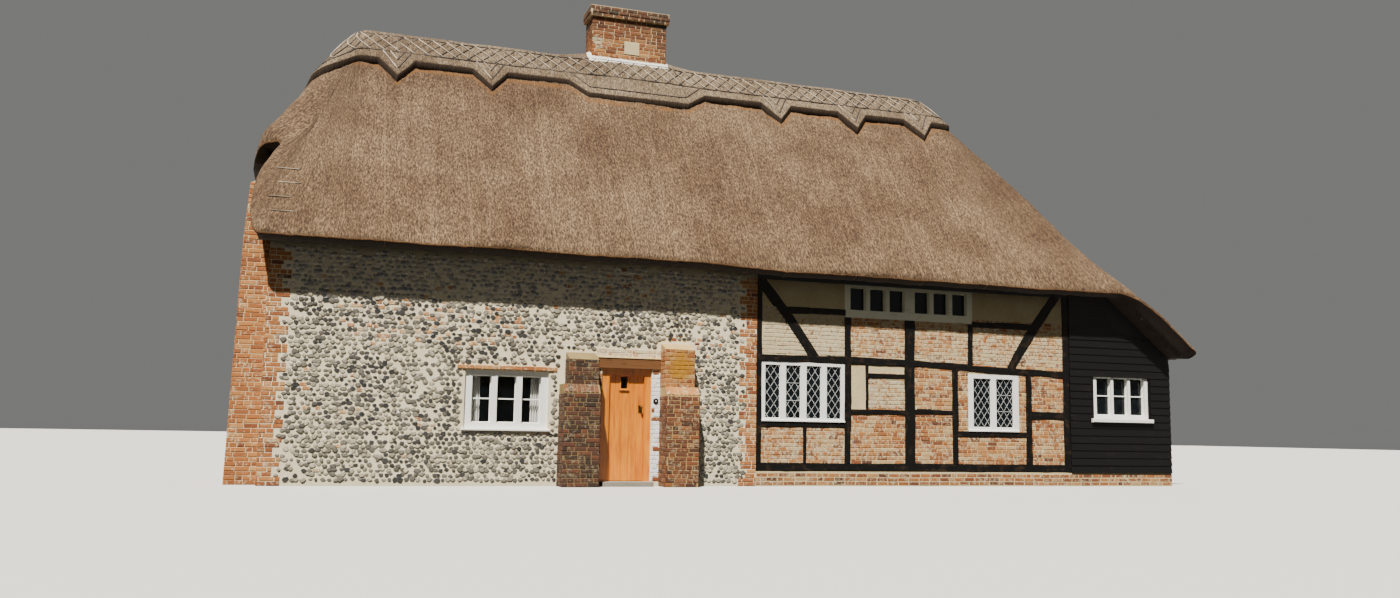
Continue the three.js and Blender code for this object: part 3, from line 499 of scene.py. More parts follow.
coat_straw = straw_finish("weathered combed straw", "#31261b", "#66523e", "#a48a69", "#6e4821", netting=0.4)
# The cap's stain colour only goes on its cut face, as painted shade.
cap_straw = straw_finish("bleached ridge straw", "#40342a", "#74644f", "#a5967e", "#35261b")

# %% [markdown]
# ## Ridge cap
# A block-cut cap of extra straw saddles the ridge, cut to points, with an apron under the chimney.
# Its rays start on the ridge and end where the cap's height meets the level of the cut, found by halving the
# interval again and again. The same rays place the hazel rods, so they lie on the straw all the way round.

# %% Rays of the cap
CAP_THICK = 0.186
STRAIGHT = RIDGE_X[1] - RIDGE_X[0]
FAN_RADIUS = 0.6
FAN = FAN_RADIUS * math.pi
ROUND = 2 * (STRAIGHT + FAN)
CAP_POINTS = (-6.88, -5.11, 0.92, 2.70, 4.33)
CAP_LEVEL, POINT_DROP, POINT_HALF = 7.92, 0.40, 0.34
APRON_X, APRON_LEVEL = (-3.56, -3.19, -1.11, -0.69), 7.64
STACK = (-3.032, -1.460, 0.28)              # x of both ends of the chimney stack, and half its depth
STACK_MIDDLE, STACK_REACH = -2.246, 0.79


def cap_edge(x):
    """Level of the cut: 7.92 m, less a triangle at each point and a flat apron under the chimney."""
    level = np.full(np.shape(x), CAP_LEVEL)
    for middle in CAP_POINTS:
        level -= POINT_DROP * np.clip(1 - np.abs(x - middle) / POINT_HALF, 0, 1)
    return np.minimum(level, np.interp(x, APRON_X, (CAP_LEVEL, APRON_LEVEL, APRON_LEVEL, CAP_LEVEL)))


def cap_ray(p):
    """Start and direction in plan of the ray at distance p round the cap, from the west end of the front."""
    p = np.mod(p, ROUND)
    zones = [p < STRAIGHT, p < STRAIGHT + FAN, p < 2 * STRAIGHT + FAN]
    turn = np.select(zones, [p * 0, (p - STRAIGHT) / FAN_RADIUS, p * 0 + math.pi],
                     (p - 2 * STRAIGHT) / FAN_RADIUS)
    x = np.select(zones, [RIDGE_X[0] + p, p * 0 + RIDGE_X[1], RIDGE_X[1] - (p - STRAIGHT - FAN)],
                  p * 0 + RIDGE_X[0])
    return np.stack([x, x * 0], axis=-1), np.stack([np.sin(turn), -np.cos(turn)], axis=-1)


def dressing(spot):
    """Height of straw packed up against the stack: 80 mm on the ridge beside it, 200 mm in front and behind."""
    x, y = spot[..., 0], spot[..., 1]
    past_stack = np.maximum(np.abs(x - STACK_MIDDLE) - STACK_REACH, 0)
    beside, facing = np.clip(1 - past_stack / 0.8, 0, 1), np.clip(1 - past_stack / 0.3, 0, 1)
    near = np.clip((0.80 - np.abs(y)) / 0.5, 0, 1)
    beside, facing, near = (t * t * (3 - 2 * t) for t in (beside, facing, near))
    return near * (0.08 * beside + 0.12 * facing * np.clip(np.abs(y) / 0.25, 0, 1))


def cap_top(spot):
    """Height of the cap: the coat's own height, the cap's thickness and the straw packed round the stack."""
    return roof_top(spot) + dressing(spot) + CAP_THICK


def west_tongue(p):
    """How far the cap runs on down the half hip: 0.8 m in its middle, falling off as a sine to either side."""
    turn = (np.mod(p, ROUND) - 2 * STRAIGHT - FAN) / FAN_RADIUS
    return 0.80 * np.clip(np.sin(np.clip(turn, 0, np.pi)), 0, 1) ** 1.5


def meet(start, direction, level, surface):
    """Distance along each ray where a surface has fallen to a level, by repeated halving."""
    near, far = np.zeros(np.shape(level)), np.full(np.shape(level), 5.0)
    for _ in range(32):
        middle = (near + far) / 2
        higher = surface(start + direction * middle[..., None]) > level
        near, far = np.where(higher, middle, near), np.where(higher, far, middle)
    return near


def on_cap(p, level, lift=0.0):
    """Points on the cap at distance p round it and at a level."""
    start, direction = cap_ray(p)
    level = np.minimum(level, cap_top(start) - 0.05)
    spot = start + direction * meet(start, direction, level, cap_top)[..., None]
    return at_height(spot, cap_top(spot) + lift)


def behind(p):
    """Place round the cap that lies on the rear across from a place p on the front."""
    return 2 * STRAIGHT + FAN - p


corners_x = np.array([c + d for c in CAP_POINTS for d in (-POINT_HALF, 0, POINT_HALF)] + [*APRON_X])
long_p = np.concatenate([np.linspace(0, STRAIGHT, 360), corners_x - RIDGE_X[0]])
fans = np.linspace(0, FAN, 46, endpoint=False)[1:]
cap_p = np.unique(np.round(np.concatenate([long_p, STRAIGHT + fans, behind(long_p), behind(0) + fans]), 5))
start, direction = cap_ray(cap_p)
cap_reach = meet(start, direction, cap_edge(start[:, 0]) - west_tongue(cap_p), cap_top)
print("cap rays:", len(cap_p), "longest", round(float(cap_reach.max()), 2), "m in plan")

# %% Ridge cap
CAP_ROWS = 34
fall = np.linspace(0, 1, CAP_ROWS)
plan = start + direction * (cap_reach * fall[:, None])[..., None]
cap = at_height(plan, cap_top(plan))
cap_down = travelled(cap)
rough = bumps(wound(cap_p, ROUND, cap_down) * [1, 1, 0.4], (0.012, 0.06, 7)) * np.clip(cap_down / 0.06, 0, 1)
cap = cap + surface_normals(cap) * (rough + bumps(cap, (0.016, 0.5, 6)))[..., None]
ragged = bumps(np.stack([cap_p, cap_p * 0], 1), (0.012, 0.05, 8))


def cap_ring(back, above_coat):
    """A ring of points behind the cut by a distance, and above the coat by another."""
    spot = start + direction * np.maximum(cap_reach - back, 0)[:, None]
    return at_height(spot, roof_top(spot) + above_coat)


cut = [cap_ring(-0.004, CAP_THICK - 0.012 + ragged), cap_ring(-0.006, CAP_THICK - 0.020 + ragged),
       cap_ring(0.004, -0.012), cap_ring(0.05, -0.08), cap_ring(9.0, -0.10)]
cap_points = np.concatenate([cap, cut])
# The rows of the cap's cut face get high stain values, which turn them dark brown to near black: painted shade.
cut_shade = np.concatenate([np.zeros(CAP_ROWS), [0.8, 1.0, 1.0, 1.0, 1.0]])
cut_down = np.concatenate([cap_down, cap_down[-1:] + np.array([[0.03], [0.07], [0.10], [0.15], [0.20]])])
make_piece("thatch_ridge_cap", (cap_points, grid_faces(*cap_points.shape[:2], closed=1)[:, ::-1]), cap_straw,
           replaces=["ridge_cap"], smooth=True, weld=True,
           values={"straw": wound(cap_p, ROUND, cut_down), "stain": np.repeat(cut_shade, len(cap_p)) * 0.91})

# %% [markdown]
# ## The coat as one piece
# The cut of the eaves and verges and the whole underside are coloured near black: painted shade.
# Rust-brown bands show on the straw just under the cut of the cap, where rain drips from it.
# The grid, its edge rings and the underside close into one skin, so it stands for the four solid coats.

# %% Thatch coat
level_here = cap_edge(coat[..., 0]) - CAP_THICK
inside_cap = np.abs(coat[..., 1]) < 3.0
below_cut = (level_here - coat[..., 2]) / 0.038
stain = np.where(inside_cap & (coat[..., 2] > 7.0), np.clip(1.4 - np.abs(below_cut - 0.3), 0, 1), 0)
stain = stain * np.clip(1.6 * noise(straw, 0.16, 9), 0, 1) * 0.84
# Rows of the cut and the underside get stain values of 0.9 and 1, which the straw finish turns near black:
# painted shade.
edge_shade = np.repeat([[0.0], [0.9], [1.0]], (1, 1, len(rings) - 2), axis=0) * np.ones(columns)
edge_reach = np.concatenate([reach, reach[-1:] + np.linspace(0.03, 0.6, len(rings))[:, None]])
make_piece("thatch_coat", (coat_points, grid_faces(rows, columns, closed=1)[:, ::-1]), coat_straw,
           smooth=True, weld=True,
           replaces=["thatch_front", "thatch_rear", "thatch_west_half_hip", "thatch_east_hip"],
           values={"straw": wound(edge_length, edge_total, edge_reach),
                   "stain": np.clip(np.concatenate([stain, edge_shade]), 0, 1)})

# %% [markdown]
# ## Hazel rods
# Split hazel rods, called liggers, run along the cap and are pegged down, and crossed spars between them make
# the diamonds. Each rod is a round section carried along a path on the cap, sunk a third into the straw.

# %% Rods on the thatch


def rod_mesh(paths, radius, sides=6):
    """Rods along (k, m, 3) paths: a ring of points square to each path point, and a point at both ends."""
    paths = np.asarray(paths, float)
    tangent = unit(np.gradient(paths, axis=1))
    side = unit(np.cross(tangent, np.where(np.abs(tangent[..., 2:]) > 0.9, [0.0, 1.0, 0.0], [0.0, 0.0, 1.0])))
    lift = np.cross(side, tangent)
    angle = np.arange(sides) * 2 * np.pi / sides
    round_part = np.cos(angle)[:, None] * side[:, :, None] + np.sin(angle)[:, None] * lift[:, :, None]
    body = paths[:, :, None] + radius * round_part
    ends = [np.repeat(paths[:, [i], None], sides, axis=2) for i in (0, -1)]
    body = np.concatenate([ends[0], body, ends[1]], axis=1)
    count, long = body.shape[:2]
    faces = grid_faces(long, sides, closed=1) + (np.arange(count) * long * sides)[:, None, None]
    return body.reshape(-1, 3), faces.reshape(-1, 4)[:, ::-1]


UPPER_ROD, LOWER_ROD, SPAR_PITCH, SPAR_LEAN = 8.49, 8.08, 0.27, 0.46
spans = np.append(np.arange(0, ROUND, 0.12), ROUND + 0.05)
liggers = [on_cap(spans, level, 0.006)[None] for level in (UPPER_ROD, LOWER_ROD - west_tongue(spans))]
apron_x = np.array([-3.50, -3.15, -2.5, -1.8, -1.15, -0.76])
apron_z = np.array([8.07, 7.76, 7.76, 7.76, 7.76, 8.07])
fine_x = np.linspace(-3.50, -0.76, 40)
for side_p in (fine_x - RIDGE_X[0], behind(fine_x - RIDGE_X[0])):
    liggers.append(on_cap(side_p, np.interp(fine_x, apron_x, apron_z), 0.008)[None])

count = int(ROUND / SPAR_PITCH)
first_p = np.arange(count)[:, None] * (ROUND / count)
share = np.linspace(0, 1, 7)
falling, rising = [], []
for way, rods in ((1, falling), (-1, rising)):
    p = first_p + way * SPAR_LEAN * share
    rods.append(on_cap(p, UPPER_ROD + (LOWER_ROD - west_tongue(p) - UPPER_ROD) * share, 0.010 + 0.004 * way))
for middle in CAP_POINTS:
    for half, foot in ((0.27, 7.66), (0.13, 7.88)):
        for side in (-1, 1):
            line = middle + side * half * (1 - share) - RIDGE_X[0]
            fall = LOWER_ROD + (foot - LOWER_ROD) * share
            pair = np.stack([on_cap(line, fall, 0.01), on_cap(behind(line), fall, 0.01)])
            (falling if side < 0 else rising).append(pair)


def on_coat(x, level, side):
    """Points on a main slope at x and at a level: side is -1 for the front and 1 for the rear."""
    x, level = np.broadcast_arrays(np.asarray(x, float), np.asarray(level, float))
    aim = np.stack([x * 0, x * 0 + side], axis=-1)
    base = np.stack([x, x * 0], axis=-1)
    spot = base + aim * meet(base, aim, level, roof_top)[..., None]
    return at_height(spot, roof_top(spot) + 0.03)


verge_levels = np.array([4.35, 4.62, 4.90, 5.18])
verge_x = np.array([-8.86, -8.92, -8.80, -8.84])[:, None] + np.linspace(0, 0.36, 6)
verge_rods = [on_coat(verge_x, verge_levels[:, None], side) for side in (-1, 1)]

# %% [markdown]
# Split hazel in two colours: the spars that lean into the sun and the rods on the verges are pale silver, a
# painted highlight, and the other spars and the liggers dark brown, painted shade, so the two families of spars
# can be told apart from the ground.

# %% Hazel
PATCH = (3.0, 3.0, 0.5)
# One hazel in a pale copy, painted highlight, and a dark brown copy, painted shade.
sunlit_hazel = cloudy_finish("split hazel with painted highlight", 0.75, PATCH, (0.38, "#6f6252"), (0.60, "#bfb19d"))
shaded_hazel = cloudy_finish("split hazel with painted shade", 0.75, PATCH, (0.38, "#211a15"), (0.60, "#3f342a"))
for name, rods, radius, finish in (("ridge_liggers", liggers, 0.013, shaded_hazel),
                                   ("ridge_spars", falling, 0.0095, sunlit_hazel),
                                   ("ridge_cross_spars", rising, 0.012, shaded_hazel),
                                   ("verge_rods", verge_rods, 0.008, sunlit_hazel)):
    make_piece(name, join_meshes([rod_mesh(paths, radius) for paths in rods]), finish, smooth=True, weld=True)

# %% [markdown]
# ## Brickwork
# The bricks are soft, hand-made and uneven, 215 by 65 mm, in courses of 75 mm with lime mortar. A picture of
# bricks on a flat wall would have no depth, so each brick is a small block with worn edges. It stands 4 to 8 mm
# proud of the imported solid, whose own face is the mortar. Rows are laid as arrays, and holes cut them.

# %% Faces of the cottage
ALONG = {"front": (1, 0, 0), "rear": (-1, 0, 0), "east": (0, 1, 0), "west": (0, -1, 0)}
UP = (0, 0, 1)


def on_face(face, offset, u, v, depth, rise=UP):
    """Points on a face: u along it, v along its rise, depth out of it. offset is its distance from the middle of
    the plan, or a point on it."""
    along = np.array(ALONG[face], float)
    out = np.cross(along, rise)
    base = out * offset if np.isscalar(offset) else np.array(offset, float)
    u, v, depth = (part[..., None] for part in np.broadcast_arrays(u, v, depth))
    return base + u * along + v * np.array(rise) + depth * out


def block_faces(count, rings):
    """Faces of blocks made of rings of four points: the sides between the rings, the front and the back."""
    faces = np.concatenate([grid_faces(rings, 4, closed=1), [np.arange(4) + 4 * rings - 4, [3, 2, 1, 0]]])
    return (faces + (np.arange(count) * 4 * rings)[:, None, None]).reshape(-1, 4)


def slab_mesh(face, offset, u, v, back, front):
    """Slabs on a face from the u and v of their four corners, each (n, 4), and two depths."""
    points = np.stack([on_face(face, offset, u, v, depth) for depth in (back, front)], axis=1)
    return points.reshape(-1, 3), block_faces(len(u), 2)


# %% Rows of bricks
COURSE, JOINT, BRICK_LONG = 0.075, 0.011, 0.226


def cut_holes(bricks, holes):
    """Takes rectangles (u0, u1, v0, v1) out of bricks: a brick beside a hole is shortened, one in it goes."""
    for h0, h1, g0, g1 in holes:
        overlap = np.minimum(bricks[:, 3], g1) - np.maximum(bricks[:, 2], g0)
        beside = overlap > 0.4 * (bricks[:, 3] - bricks[:, 2])
        left, right = bricks[beside].copy(), bricks[beside].copy()
        left[:, 1] = np.minimum(left[:, 1], h0)
        right[:, 0] = np.maximum(right[:, 0], h1)
        rest = bricks[~beside].copy()
        meets = (rest[:, 0] < h1) & (rest[:, 1] > h0) & (overlap[~beside] > 0)
        below = meets & (rest[:, 2] < g0)
        over = meets & (rest[:, 3] > g1)
        rest[below, 3] = g0
        rest[over, 2] = g1
        bricks = np.concatenate([left, right, rest])
        bricks = bricks[(bricks[:, 1] - bricks[:, 0] > 0.028) & (bricks[:, 3] - bricks[:, 2] > 0.018)]
    return bricks


def lay_bricks(v0, v1, limits, seed, holes=(), course=COURSE, headers=0.25, wobble=0.004):
    """Rectangles of bricks between levels v0 and v1. limits are both ends of a row, or give them at a level.
    Lengths are stretchers or headers at random, added up along the row from a random start."""
    chance = np.random.default_rng(seed)
    rows = []
    for low in np.arange(v0, v1 - 0.02, course):
        start, end = limits(low + course / 2) if callable(limits) else limits
        lengths = np.where(chance.random(int((end - start) / 0.1) + 4) < headers, 0.5, 1.0) * BRICK_LONG
        lengths *= 1 + chance.uniform(-0.05, 0.05, len(lengths))
        edges = start - chance.uniform(0.05, 1) * lengths[0] + np.concatenate([[0], np.cumsum(lengths)])
        row = np.stack([edges[:-1], edges[1:] - JOINT, np.full(len(lengths), low),
                        np.full(len(lengths), min(low + course - JOINT, v1))], axis=1)
        row[:, :2] = np.clip(row[:, :2], start, end)
        row[:, 2:] += wobble * np.sin(row[:, :1] * 1.7 + low * 5)
        rows.append(row[row[:, 1] - row[:, 0] > 0.03])
    return cut_holes(np.concatenate(rows), holes)


def block_mesh(face, offset, boxes, seed, proud=(0.004, 0.008), worn=0.005, rise=UP, sink=0.012):
    """A worn block on each rectangle: a back ring in the mortar, a side ring, and a front ring drawn in."""
    chance = np.random.default_rng(seed)
    u0, u1, v0, v1 = boxes.T
    out = chance.uniform(*proud, len(boxes))
    rings = []
    for inset, depth in ((0.0, -sink - out * 0), (0.0, out - worn), (worn, out)):
        shake = chance.uniform(-0.0015, 0.0015, (len(boxes), 4, 2)) * (depth[:, None, None] > 0)
        u = np.stack([u0 + inset, u1 - inset, u1 - inset, u0 + inset], axis=1) + shake[..., 0]
        v = np.stack([v0 + inset, v0 + inset, v1 - inset, v1 - inset], axis=1) + shake[..., 1]
        rings.append(on_face(face, offset, u, v, depth[:, None], rise))
    return np.stack(rings, axis=1).reshape(-1, 3), block_faces(len(boxes), 3)


class Brickwork:
    """Collects blocks for one piece, so that all its bricks share a mesh."""

    def __init__(self, name):
        self.name, self.parts, self.values = name, [], []

    def add(self, face, offset, boxes, seed, tone, spread=0.0, wash=0.0, dirt=0.0, **shape):
        """Adds blocks. The tone varies by spread; tone, limewash and dirt go on each block's twelve points."""
        self.parts.append(block_mesh(face, offset, boxes, seed, **shape))
        if spread:
            tone = tone + chance.normal(0, spread, len(boxes))
        values = np.broadcast_arrays(tone, wash, dirt, boxes[:, 0])[:3]
        self.values.append(np.repeat(np.stack(values, axis=-1), 12, axis=0))

    def make(self, finish, slot="brickwork"):
        """Makes the piece from all the blocks."""
        make_piece(self.name, join_meshes(self.parts), finish,
                   values={"brick": np.concatenate(self.values)})


# %% [markdown]
# Hand-made stock brick is open and matt: each brick has its own fire colour, from plum through orange to
# straw, with sandy creases. Limewash lies on some panels in torn patches. Soot and lichen darken the tops.

# %% Brick and mortar


def with_lichen(tree, colour, world, fine, centre):
    """Golden lichen over a colour: a patch about 0.2 m across round a centre, its rim broken up by noise."""
    broad = add_node(tree, "TexNoise", world, Scale=7.0, Detail=4.0, Roughness=0.65)
    away = add_node(tree, "VectorMath", world, centre, operation="DISTANCE", out="Value")
    edge = add_node(tree, "Math", broad, -0.55, away, operation="MULTIPLY_ADD")
    grown = add_node(tree, "MapRange", Value=edge, From_Min=0.02, From_Max=-0.12, To_Max=0.85)
    return blend(tree, grown, colour, blend(tree, fine, rgb("#74500c"), rgb("#bd8412")))


def brick_finish(name, lichen_at=None):
    """Brick colour from each block's tone, mottled at 20 mm, then limewash, dirt and lichen in patches."""
    material, tree, world = new_finish(name, 0.9, Specular_IOR_Level=0.3)
    values = add_node(tree, "Attribute", attribute_name="brick", out="Vector")
    tone, wash, dirt = add_node(tree, "SeparateXYZ", values, out=None)
    fine = add_node(tree, "TexNoise", world, Scale=55.0, Detail=4.0, Roughness=0.7)
    broad = add_node(tree, "TexNoise", world, Scale=7.0, Detail=4.0, Roughness=0.65)
    colour = ramp(tree, tone, (0.0, "#3a2820"), (0.2, "#623b2a"), (0.4, "#8e5231"), (0.6, "#b4703b"),
                  (0.8, "#c98f53"), (1.0, "#d3b07c"))
    colour = blend(tree, 0.7, colour, ramp(tree, fine, (0.3, "#a89c94"), (0.65, "#ffffff")), "MULTIPLY")
    middle = add_node(tree, "TexNoise", world, Scale=22.0, Detail=3.0)
    torn = add_node(tree, "Math", broad, middle, operation="ADD")
    torn = add_node(tree, "Math", torn, 1.0, operation="SUBTRACT")
    torn = add_node(tree, "Math", torn, 2.0, wash, operation="MULTIPLY_ADD")
    covered = add_node(tree, "MapRange", Value=torn, From_Min=0.2, From_Max=0.8)
    colour = blend(tree, covered, colour, blend(tree, fine, rgb("#b9a67e"), rgb("#dccfae")))
    soot = add_node(tree, "Math", dirt, broad, operation="MULTIPLY")
    colour = blend(tree, soot, colour, rgb("#2e2822"))
    if lichen_at:
        colour = with_lichen(tree, colour, world, fine, lichen_at)
    wire(tree, colour, fine)
    return material


def mortar_finish(name, pale, deep, distance=0.006, lichen_at=None):
    """Lime and coarse sand: pale matt paste with 3 to 8 mm grit and soft stains."""
    material, tree, world = new_finish(name, 0.95, Specular_IOR_Level=0.2)
    grit = add_node(tree, "TexNoise", world, Scale=90.0, Detail=3.0, Roughness=0.7)
    stain = add_node(tree, "TexNoise", world, Scale=1.6, Detail=4.0, Roughness=0.6)
    colour = blend(tree, stain, rgb(deep), rgb(pale))
    colour = blend(tree, 0.5, colour, ramp(tree, grit, (0.35, "#a39a8c"), (0.62, "#ffffff")), "MULTIPLY")
    if lichen_at:
        colour = with_lichen(tree, colour, world, grit, lichen_at)
    wire(tree, colour, grit, distance)
    return material


stock_brick = brick_finish("hand-made stock brick")
LICHEN = (-1.96, -3.2, 2.12)
lichen_brick = brick_finish("stock brick with golden lichen", LICHEN)
lime_mortar = mortar_finish("lime mortar", "#e6d5ab", "#c2ab7c")
soot_mortar = mortar_finish("sooty mortar", "#b5aa98", "#7d7264")


def set_finish(finish, *nodes):
    """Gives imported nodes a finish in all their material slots."""
    for name in nodes:
        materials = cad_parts[name].data.materials
        for i in range(len(materials)):
            materials[i] = finish


earth_mortar = mortar_finish("dark buttress mortar", "#a38e5e", "#66563a")
sandy_mortar = mortar_finish("sandy buttress mortar", "#d3b97e", "#a1834c", lichen_at=LICHEN)
set_finish(earth_mortar, "door_buttress_left")
set_finish(sandy_mortar, "door_buttress_right")
set_finish(lime_mortar, "chimney_stack", "gable_buttress", "frame_plinth",
           "infill_bay_1_upper", "infill_bay_1_lower", "infill_bay_2", "infill_bay_3", "rear_infill")

# %% Chimney bricks
chance = np.random.default_rng(21)
HEAD_FOOT, HEAD_COURSE, STACK_TOP = 9.422, 0.073, 9.64
PLAQUE = (-2.350, -2.035, 8.690, 8.930)
chimney = Brickwork("chimney_bricks")
stack_sides = (("front", STACK[2], STACK[0], STACK[1]), ("rear", STACK[2], -STACK[1], -STACK[0]),
               ("east", STACK[1], -STACK[2], STACK[2]), ("west", -STACK[0], -STACK[2], STACK[2]))
for i, (face, offset, u0, u1) in enumerate(stack_sides):
    front = face == "front"
    boxes = lay_bricks(7.62, 9.41, (u0 - 0.006, u1 + 0.006), 30 + i, wobble=0.002,
                       holes=[PLAQUE] if front else ())
    height = (boxes[:, 2] - 8.2) / 1.2
    splash = np.exp(-((boxes[:, 0] + 2.95) / 0.10) ** 2 - ((boxes[:, 2] - 8.88) / 0.14) ** 2) * front
    worn = np.clip(height - 0.2, 0, 1) * 1.5 + np.clip(boxes[:, 0] + 2.0, 0, 0.5) * 1.4 * front
    chimney.add(face, offset, boxes, 40 + i, 0.61 - 0.18 * height, 0.14, splash, worn + 0.2 * (face == "west"))
    head = lay_bricks(HEAD_FOOT, STACK_TOP, (u0 - 0.05, u1 + 0.05), 50 + i, course=HEAD_COURSE, wobble=0.0)
    for j, proud in enumerate((0.002, 0.014, 0.006)):
        row = head[np.abs(head[:, 2] - HEAD_FOOT - HEAD_COURSE * j) < 0.03]
        chimney.add(face, offset + 0.05, row, 60 + 3 * i + j, 0.42, 0.13, 0.13, 1.25,
                    proud=(proud, proud + 0.003))
chimney.make(stock_brick)

# %% Buttress bricks
PIER_TOP = 4.92
PIER_LEVELS, PIER_REACH = np.array([0.0, 3.225, 3.975, PIER_TOP]), np.array([-9.350, -9.288, -9.274, -9.218])


def gable_outer(v):
    """How far west the gable buttress reaches at a level: it leans back 132 mm in three steps."""
    return np.interp(v, PIER_LEVELS, PIER_REACH)


buttresses, door_buttress = Brickwork("buttress_bricks"), Brickwork("door_buttress_bricks")
pier_sides = [("front", 2.5, lambda v: (gable_outer(v) - 0.006, -GABLE), PIER_TOP, UP),
              ("rear", -1.7, lambda v: (GABLE, 0.006 - gable_outer(v)), PIER_TOP, UP)]
for x0, x1, z0, z1 in zip(PIER_REACH[:-1], PIER_REACH[1:], PIER_LEVELS[:-1], PIER_LEVELS[1:]):
    tall = math.hypot(x1 - x0, z1 - z0)
    pier_sides.append(("west", (x0, 0, z0), (1.694, 2.506), tall, ((x1 - x0) / tall, 0, (z1 - z0) / tall)))
for i, (face, offset, limits, tall, rise) in enumerate(pier_sides):
    boxes = lay_bricks(0.005, tall, limits, 80 + i, headers=0.4)
    buttresses.add(face, offset, boxes, 90 + i, 0.57, 0.11, 0.04, 0.1, rise=rise)

# Each door buttress: x of the upper part, x of the lower part, height of its front, tone and dirt
DOOR_BUTTRESSES = ((buttresses, (-3.950, -3.430), (-4.050, -3.420), 2.17, 0.17, 1.0),
                   (door_buttress, (-2.230, -1.690), (-2.230, -1.630), 2.40, 0.62, 0.30))
SHOULDER, UPPER_OUT, LOWER_OUT = 1.745, 3.20, 3.32
for i, (brickwork, upper, lower, top, tone, dirt) in enumerate(DOOR_BUTTRESSES):
    sides = [("front", UPPER_OUT, *upper, SHOULDER, top), ("front", LOWER_OUT, *lower, 0.01, 1.585)]
    sides += [("west", -upper[0], WALL, UPPER_OUT, SHOULDER, top),
              ("west", -lower[0], WALL, LOWER_OUT, 0.01, 1.60),
              ("east", upper[1], -UPPER_OUT, -WALL, SHOULDER, top),
              ("east", lower[1], -LOWER_OUT, -WALL, 0.01, 1.60)]
    for j, (face, offset, u0, u1, v0, v1) in enumerate(sides):
        boxes = lay_bricks(v0, v1, (u0 - 0.004, u1 + 0.004), 100 + 6 * i + j, headers=0.45)
        low = v0 < 1
        brickwork.add(face, offset, boxes, 120 + 6 * i + j, tone - 0.3 * low * i, 0.12, 0.06 + 0.06 * i,
                      dirt + 0.4 * i * low)
    slope = np.array([0, 0.12, 0.15]) / math.hypot(0.12, 0.15)
    starts = np.arange(lower[0] + 0.004, lower[1] - 0.06, 0.076)
    on_edge = np.stack([starts, starts + 0.064, starts * 0 + 0.004, starts * 0 + 0.186], axis=1)
    brickwork.add("front", (0, -LOWER_OUT, 1.59), on_edge, 140 + i, tone + 0.1, 0.1, 0.15, dirt, rise=slope,
                  proud=(0.010, 0.018))
buttresses.make(stock_brick)
door_buttress.make(lichen_brick)

# %% Bricks of the plinth, the quoins and the door surround
edgings = Brickwork("plinth_and_quoin_bricks")
for i, (face, offset, u0, u1) in enumerate((("front", WALL, -0.39, 8.956), ("east", EAST_WALL, -2.906, 2.906),
                                            ("rear", WALL, -8.956, 0.39))):
    boxes = lay_bricks(0.02, 0.262, (u0, u1), 150 + i)
    edgings.add(face, offset, boxes, 155 + i, 0.5, 0.16, 0.2, 0.5, proud=(0.001, 0.004))
QUOINS = (("front", WALL, -0.73, -0.385, -1), ("front", WALL, -8.856, -8.50, 1), ("rear", WALL, 0.385, 0.73, 1),
          ("rear", WALL, 8.50, 8.856, -1), ("west", GABLE, -2.906, -2.55, 1), ("west", GABLE, 2.55, 2.906, -1))
for i, (face, offset, u0, u1, grows) in enumerate(QUOINS):
    def toothed(v, u0=u0, u1=u1, grows=grows):
        """Every other pair of courses is one header shorter, so that the bricks bond into the flint."""
        short = 0.13 * (int(v / COURSE) // 2 % 2)
        return (u0, u1 - short) if grows > 0 else (u0 + short, u1)
    boxes = lay_bricks(0.01, 3.80, toothed, 160 + i, headers=0.35)
    edgings.add(face, offset, boxes, 170 + i, 0.60, 0.13, 0.10, 0.1)
jamb = lay_bricks(0.09, 2.05, (-2.385, -2.235), 180, headers=0.6)
bare_brick = (chance.random(len(jamb)) < 0.12) | (jamb[:, 3] > 2.0)
edgings.add("front", WALL, jamb[bare_brick], 181, 0.35, wash=0.1)
painted_jamb = Brickwork("painted_jamb_bricks")
painted_jamb.add("front", WALL, jamb[~bare_brick], 181, 0.5)
return_bricks = lay_bricks(0.09, 2.05, (-3.422, -3.302), 186, headers=1.0)
edgings.add("front", WALL, return_bricks, 187, 0.40, 0.1, dirt=0.6)
for face, u0, u1 in (("front", -5.80, -4.10), ("rear", 4.10, 5.80)):
    creasing = lay_bricks(1.958, 2.035, (u0, u1), 182, headers=0.5)
    edgings.add(face, WALL, creasing, 183, 0.66, 0.1, 0.15, proud=(0.016, 0.024))
lintel_course = lay_bricks(2.25, 2.40, (-3.40, -2.24), 184, headers=0.6)
edgings.add("front", WALL, lintel_course, 185, 0.50, 0.15, 0.78)
edgings.make(stock_brick)
painted_jamb.make(cloudy_finish("white masonry paint on brick", 0.85, (26.0, 4.0, 0.7), (0.32, "#b4b2b4"),
                                (0.5, "#e2e6ea"), (0.7, "#f2f4f6"), bump=(0.003, 0.7), Specular_IOR_Level=0.3))

# %% [markdown]
# ## Infill panels
# Between the timbers the panels are bricks too, some bare and some limewashed. The wash grows towards the eaves
# and the west, as on the real wall, and a few small panels are plain plaster, so they have no bricks at all.

# %% Infill bricks
UPPER_WINDOW, LEFT_WINDOW = (1.407, 4.200, 3.170, 3.800), (-0.280, 1.407, 1.180, 2.280)
RIGHT_WINDOW = (4.090, 5.250, 1.060, 2.180)
PLASTER = [(-0.28, 1.407, 3.31, 3.80), (1.534, 1.850, 1.430, 2.280), (1.850, 2.690, 2.160, 2.280),
           (4.20, 6.31, 3.30, 3.80)]


def panel_wash(x, z):
    """Limewash on a panel: nearly all of bay 1's top, half of the upper row, torn patches in bay 2."""
    wash = np.where(z > 2.35, 0.45, 0.22)
    wash = np.where((z < 1.2) & (x < 1.5), 0.42, wash)
    wash = np.where((z > 2.35) & (x < 1.5), 0.86, wash)
    wash = np.where((z > 2.35) & (x > 4.2), 0.52, wash)
    return np.where((x > 1.85) & (x < 2.7) & (z > 1.43) & (z < 2.2), 0.62, wash)


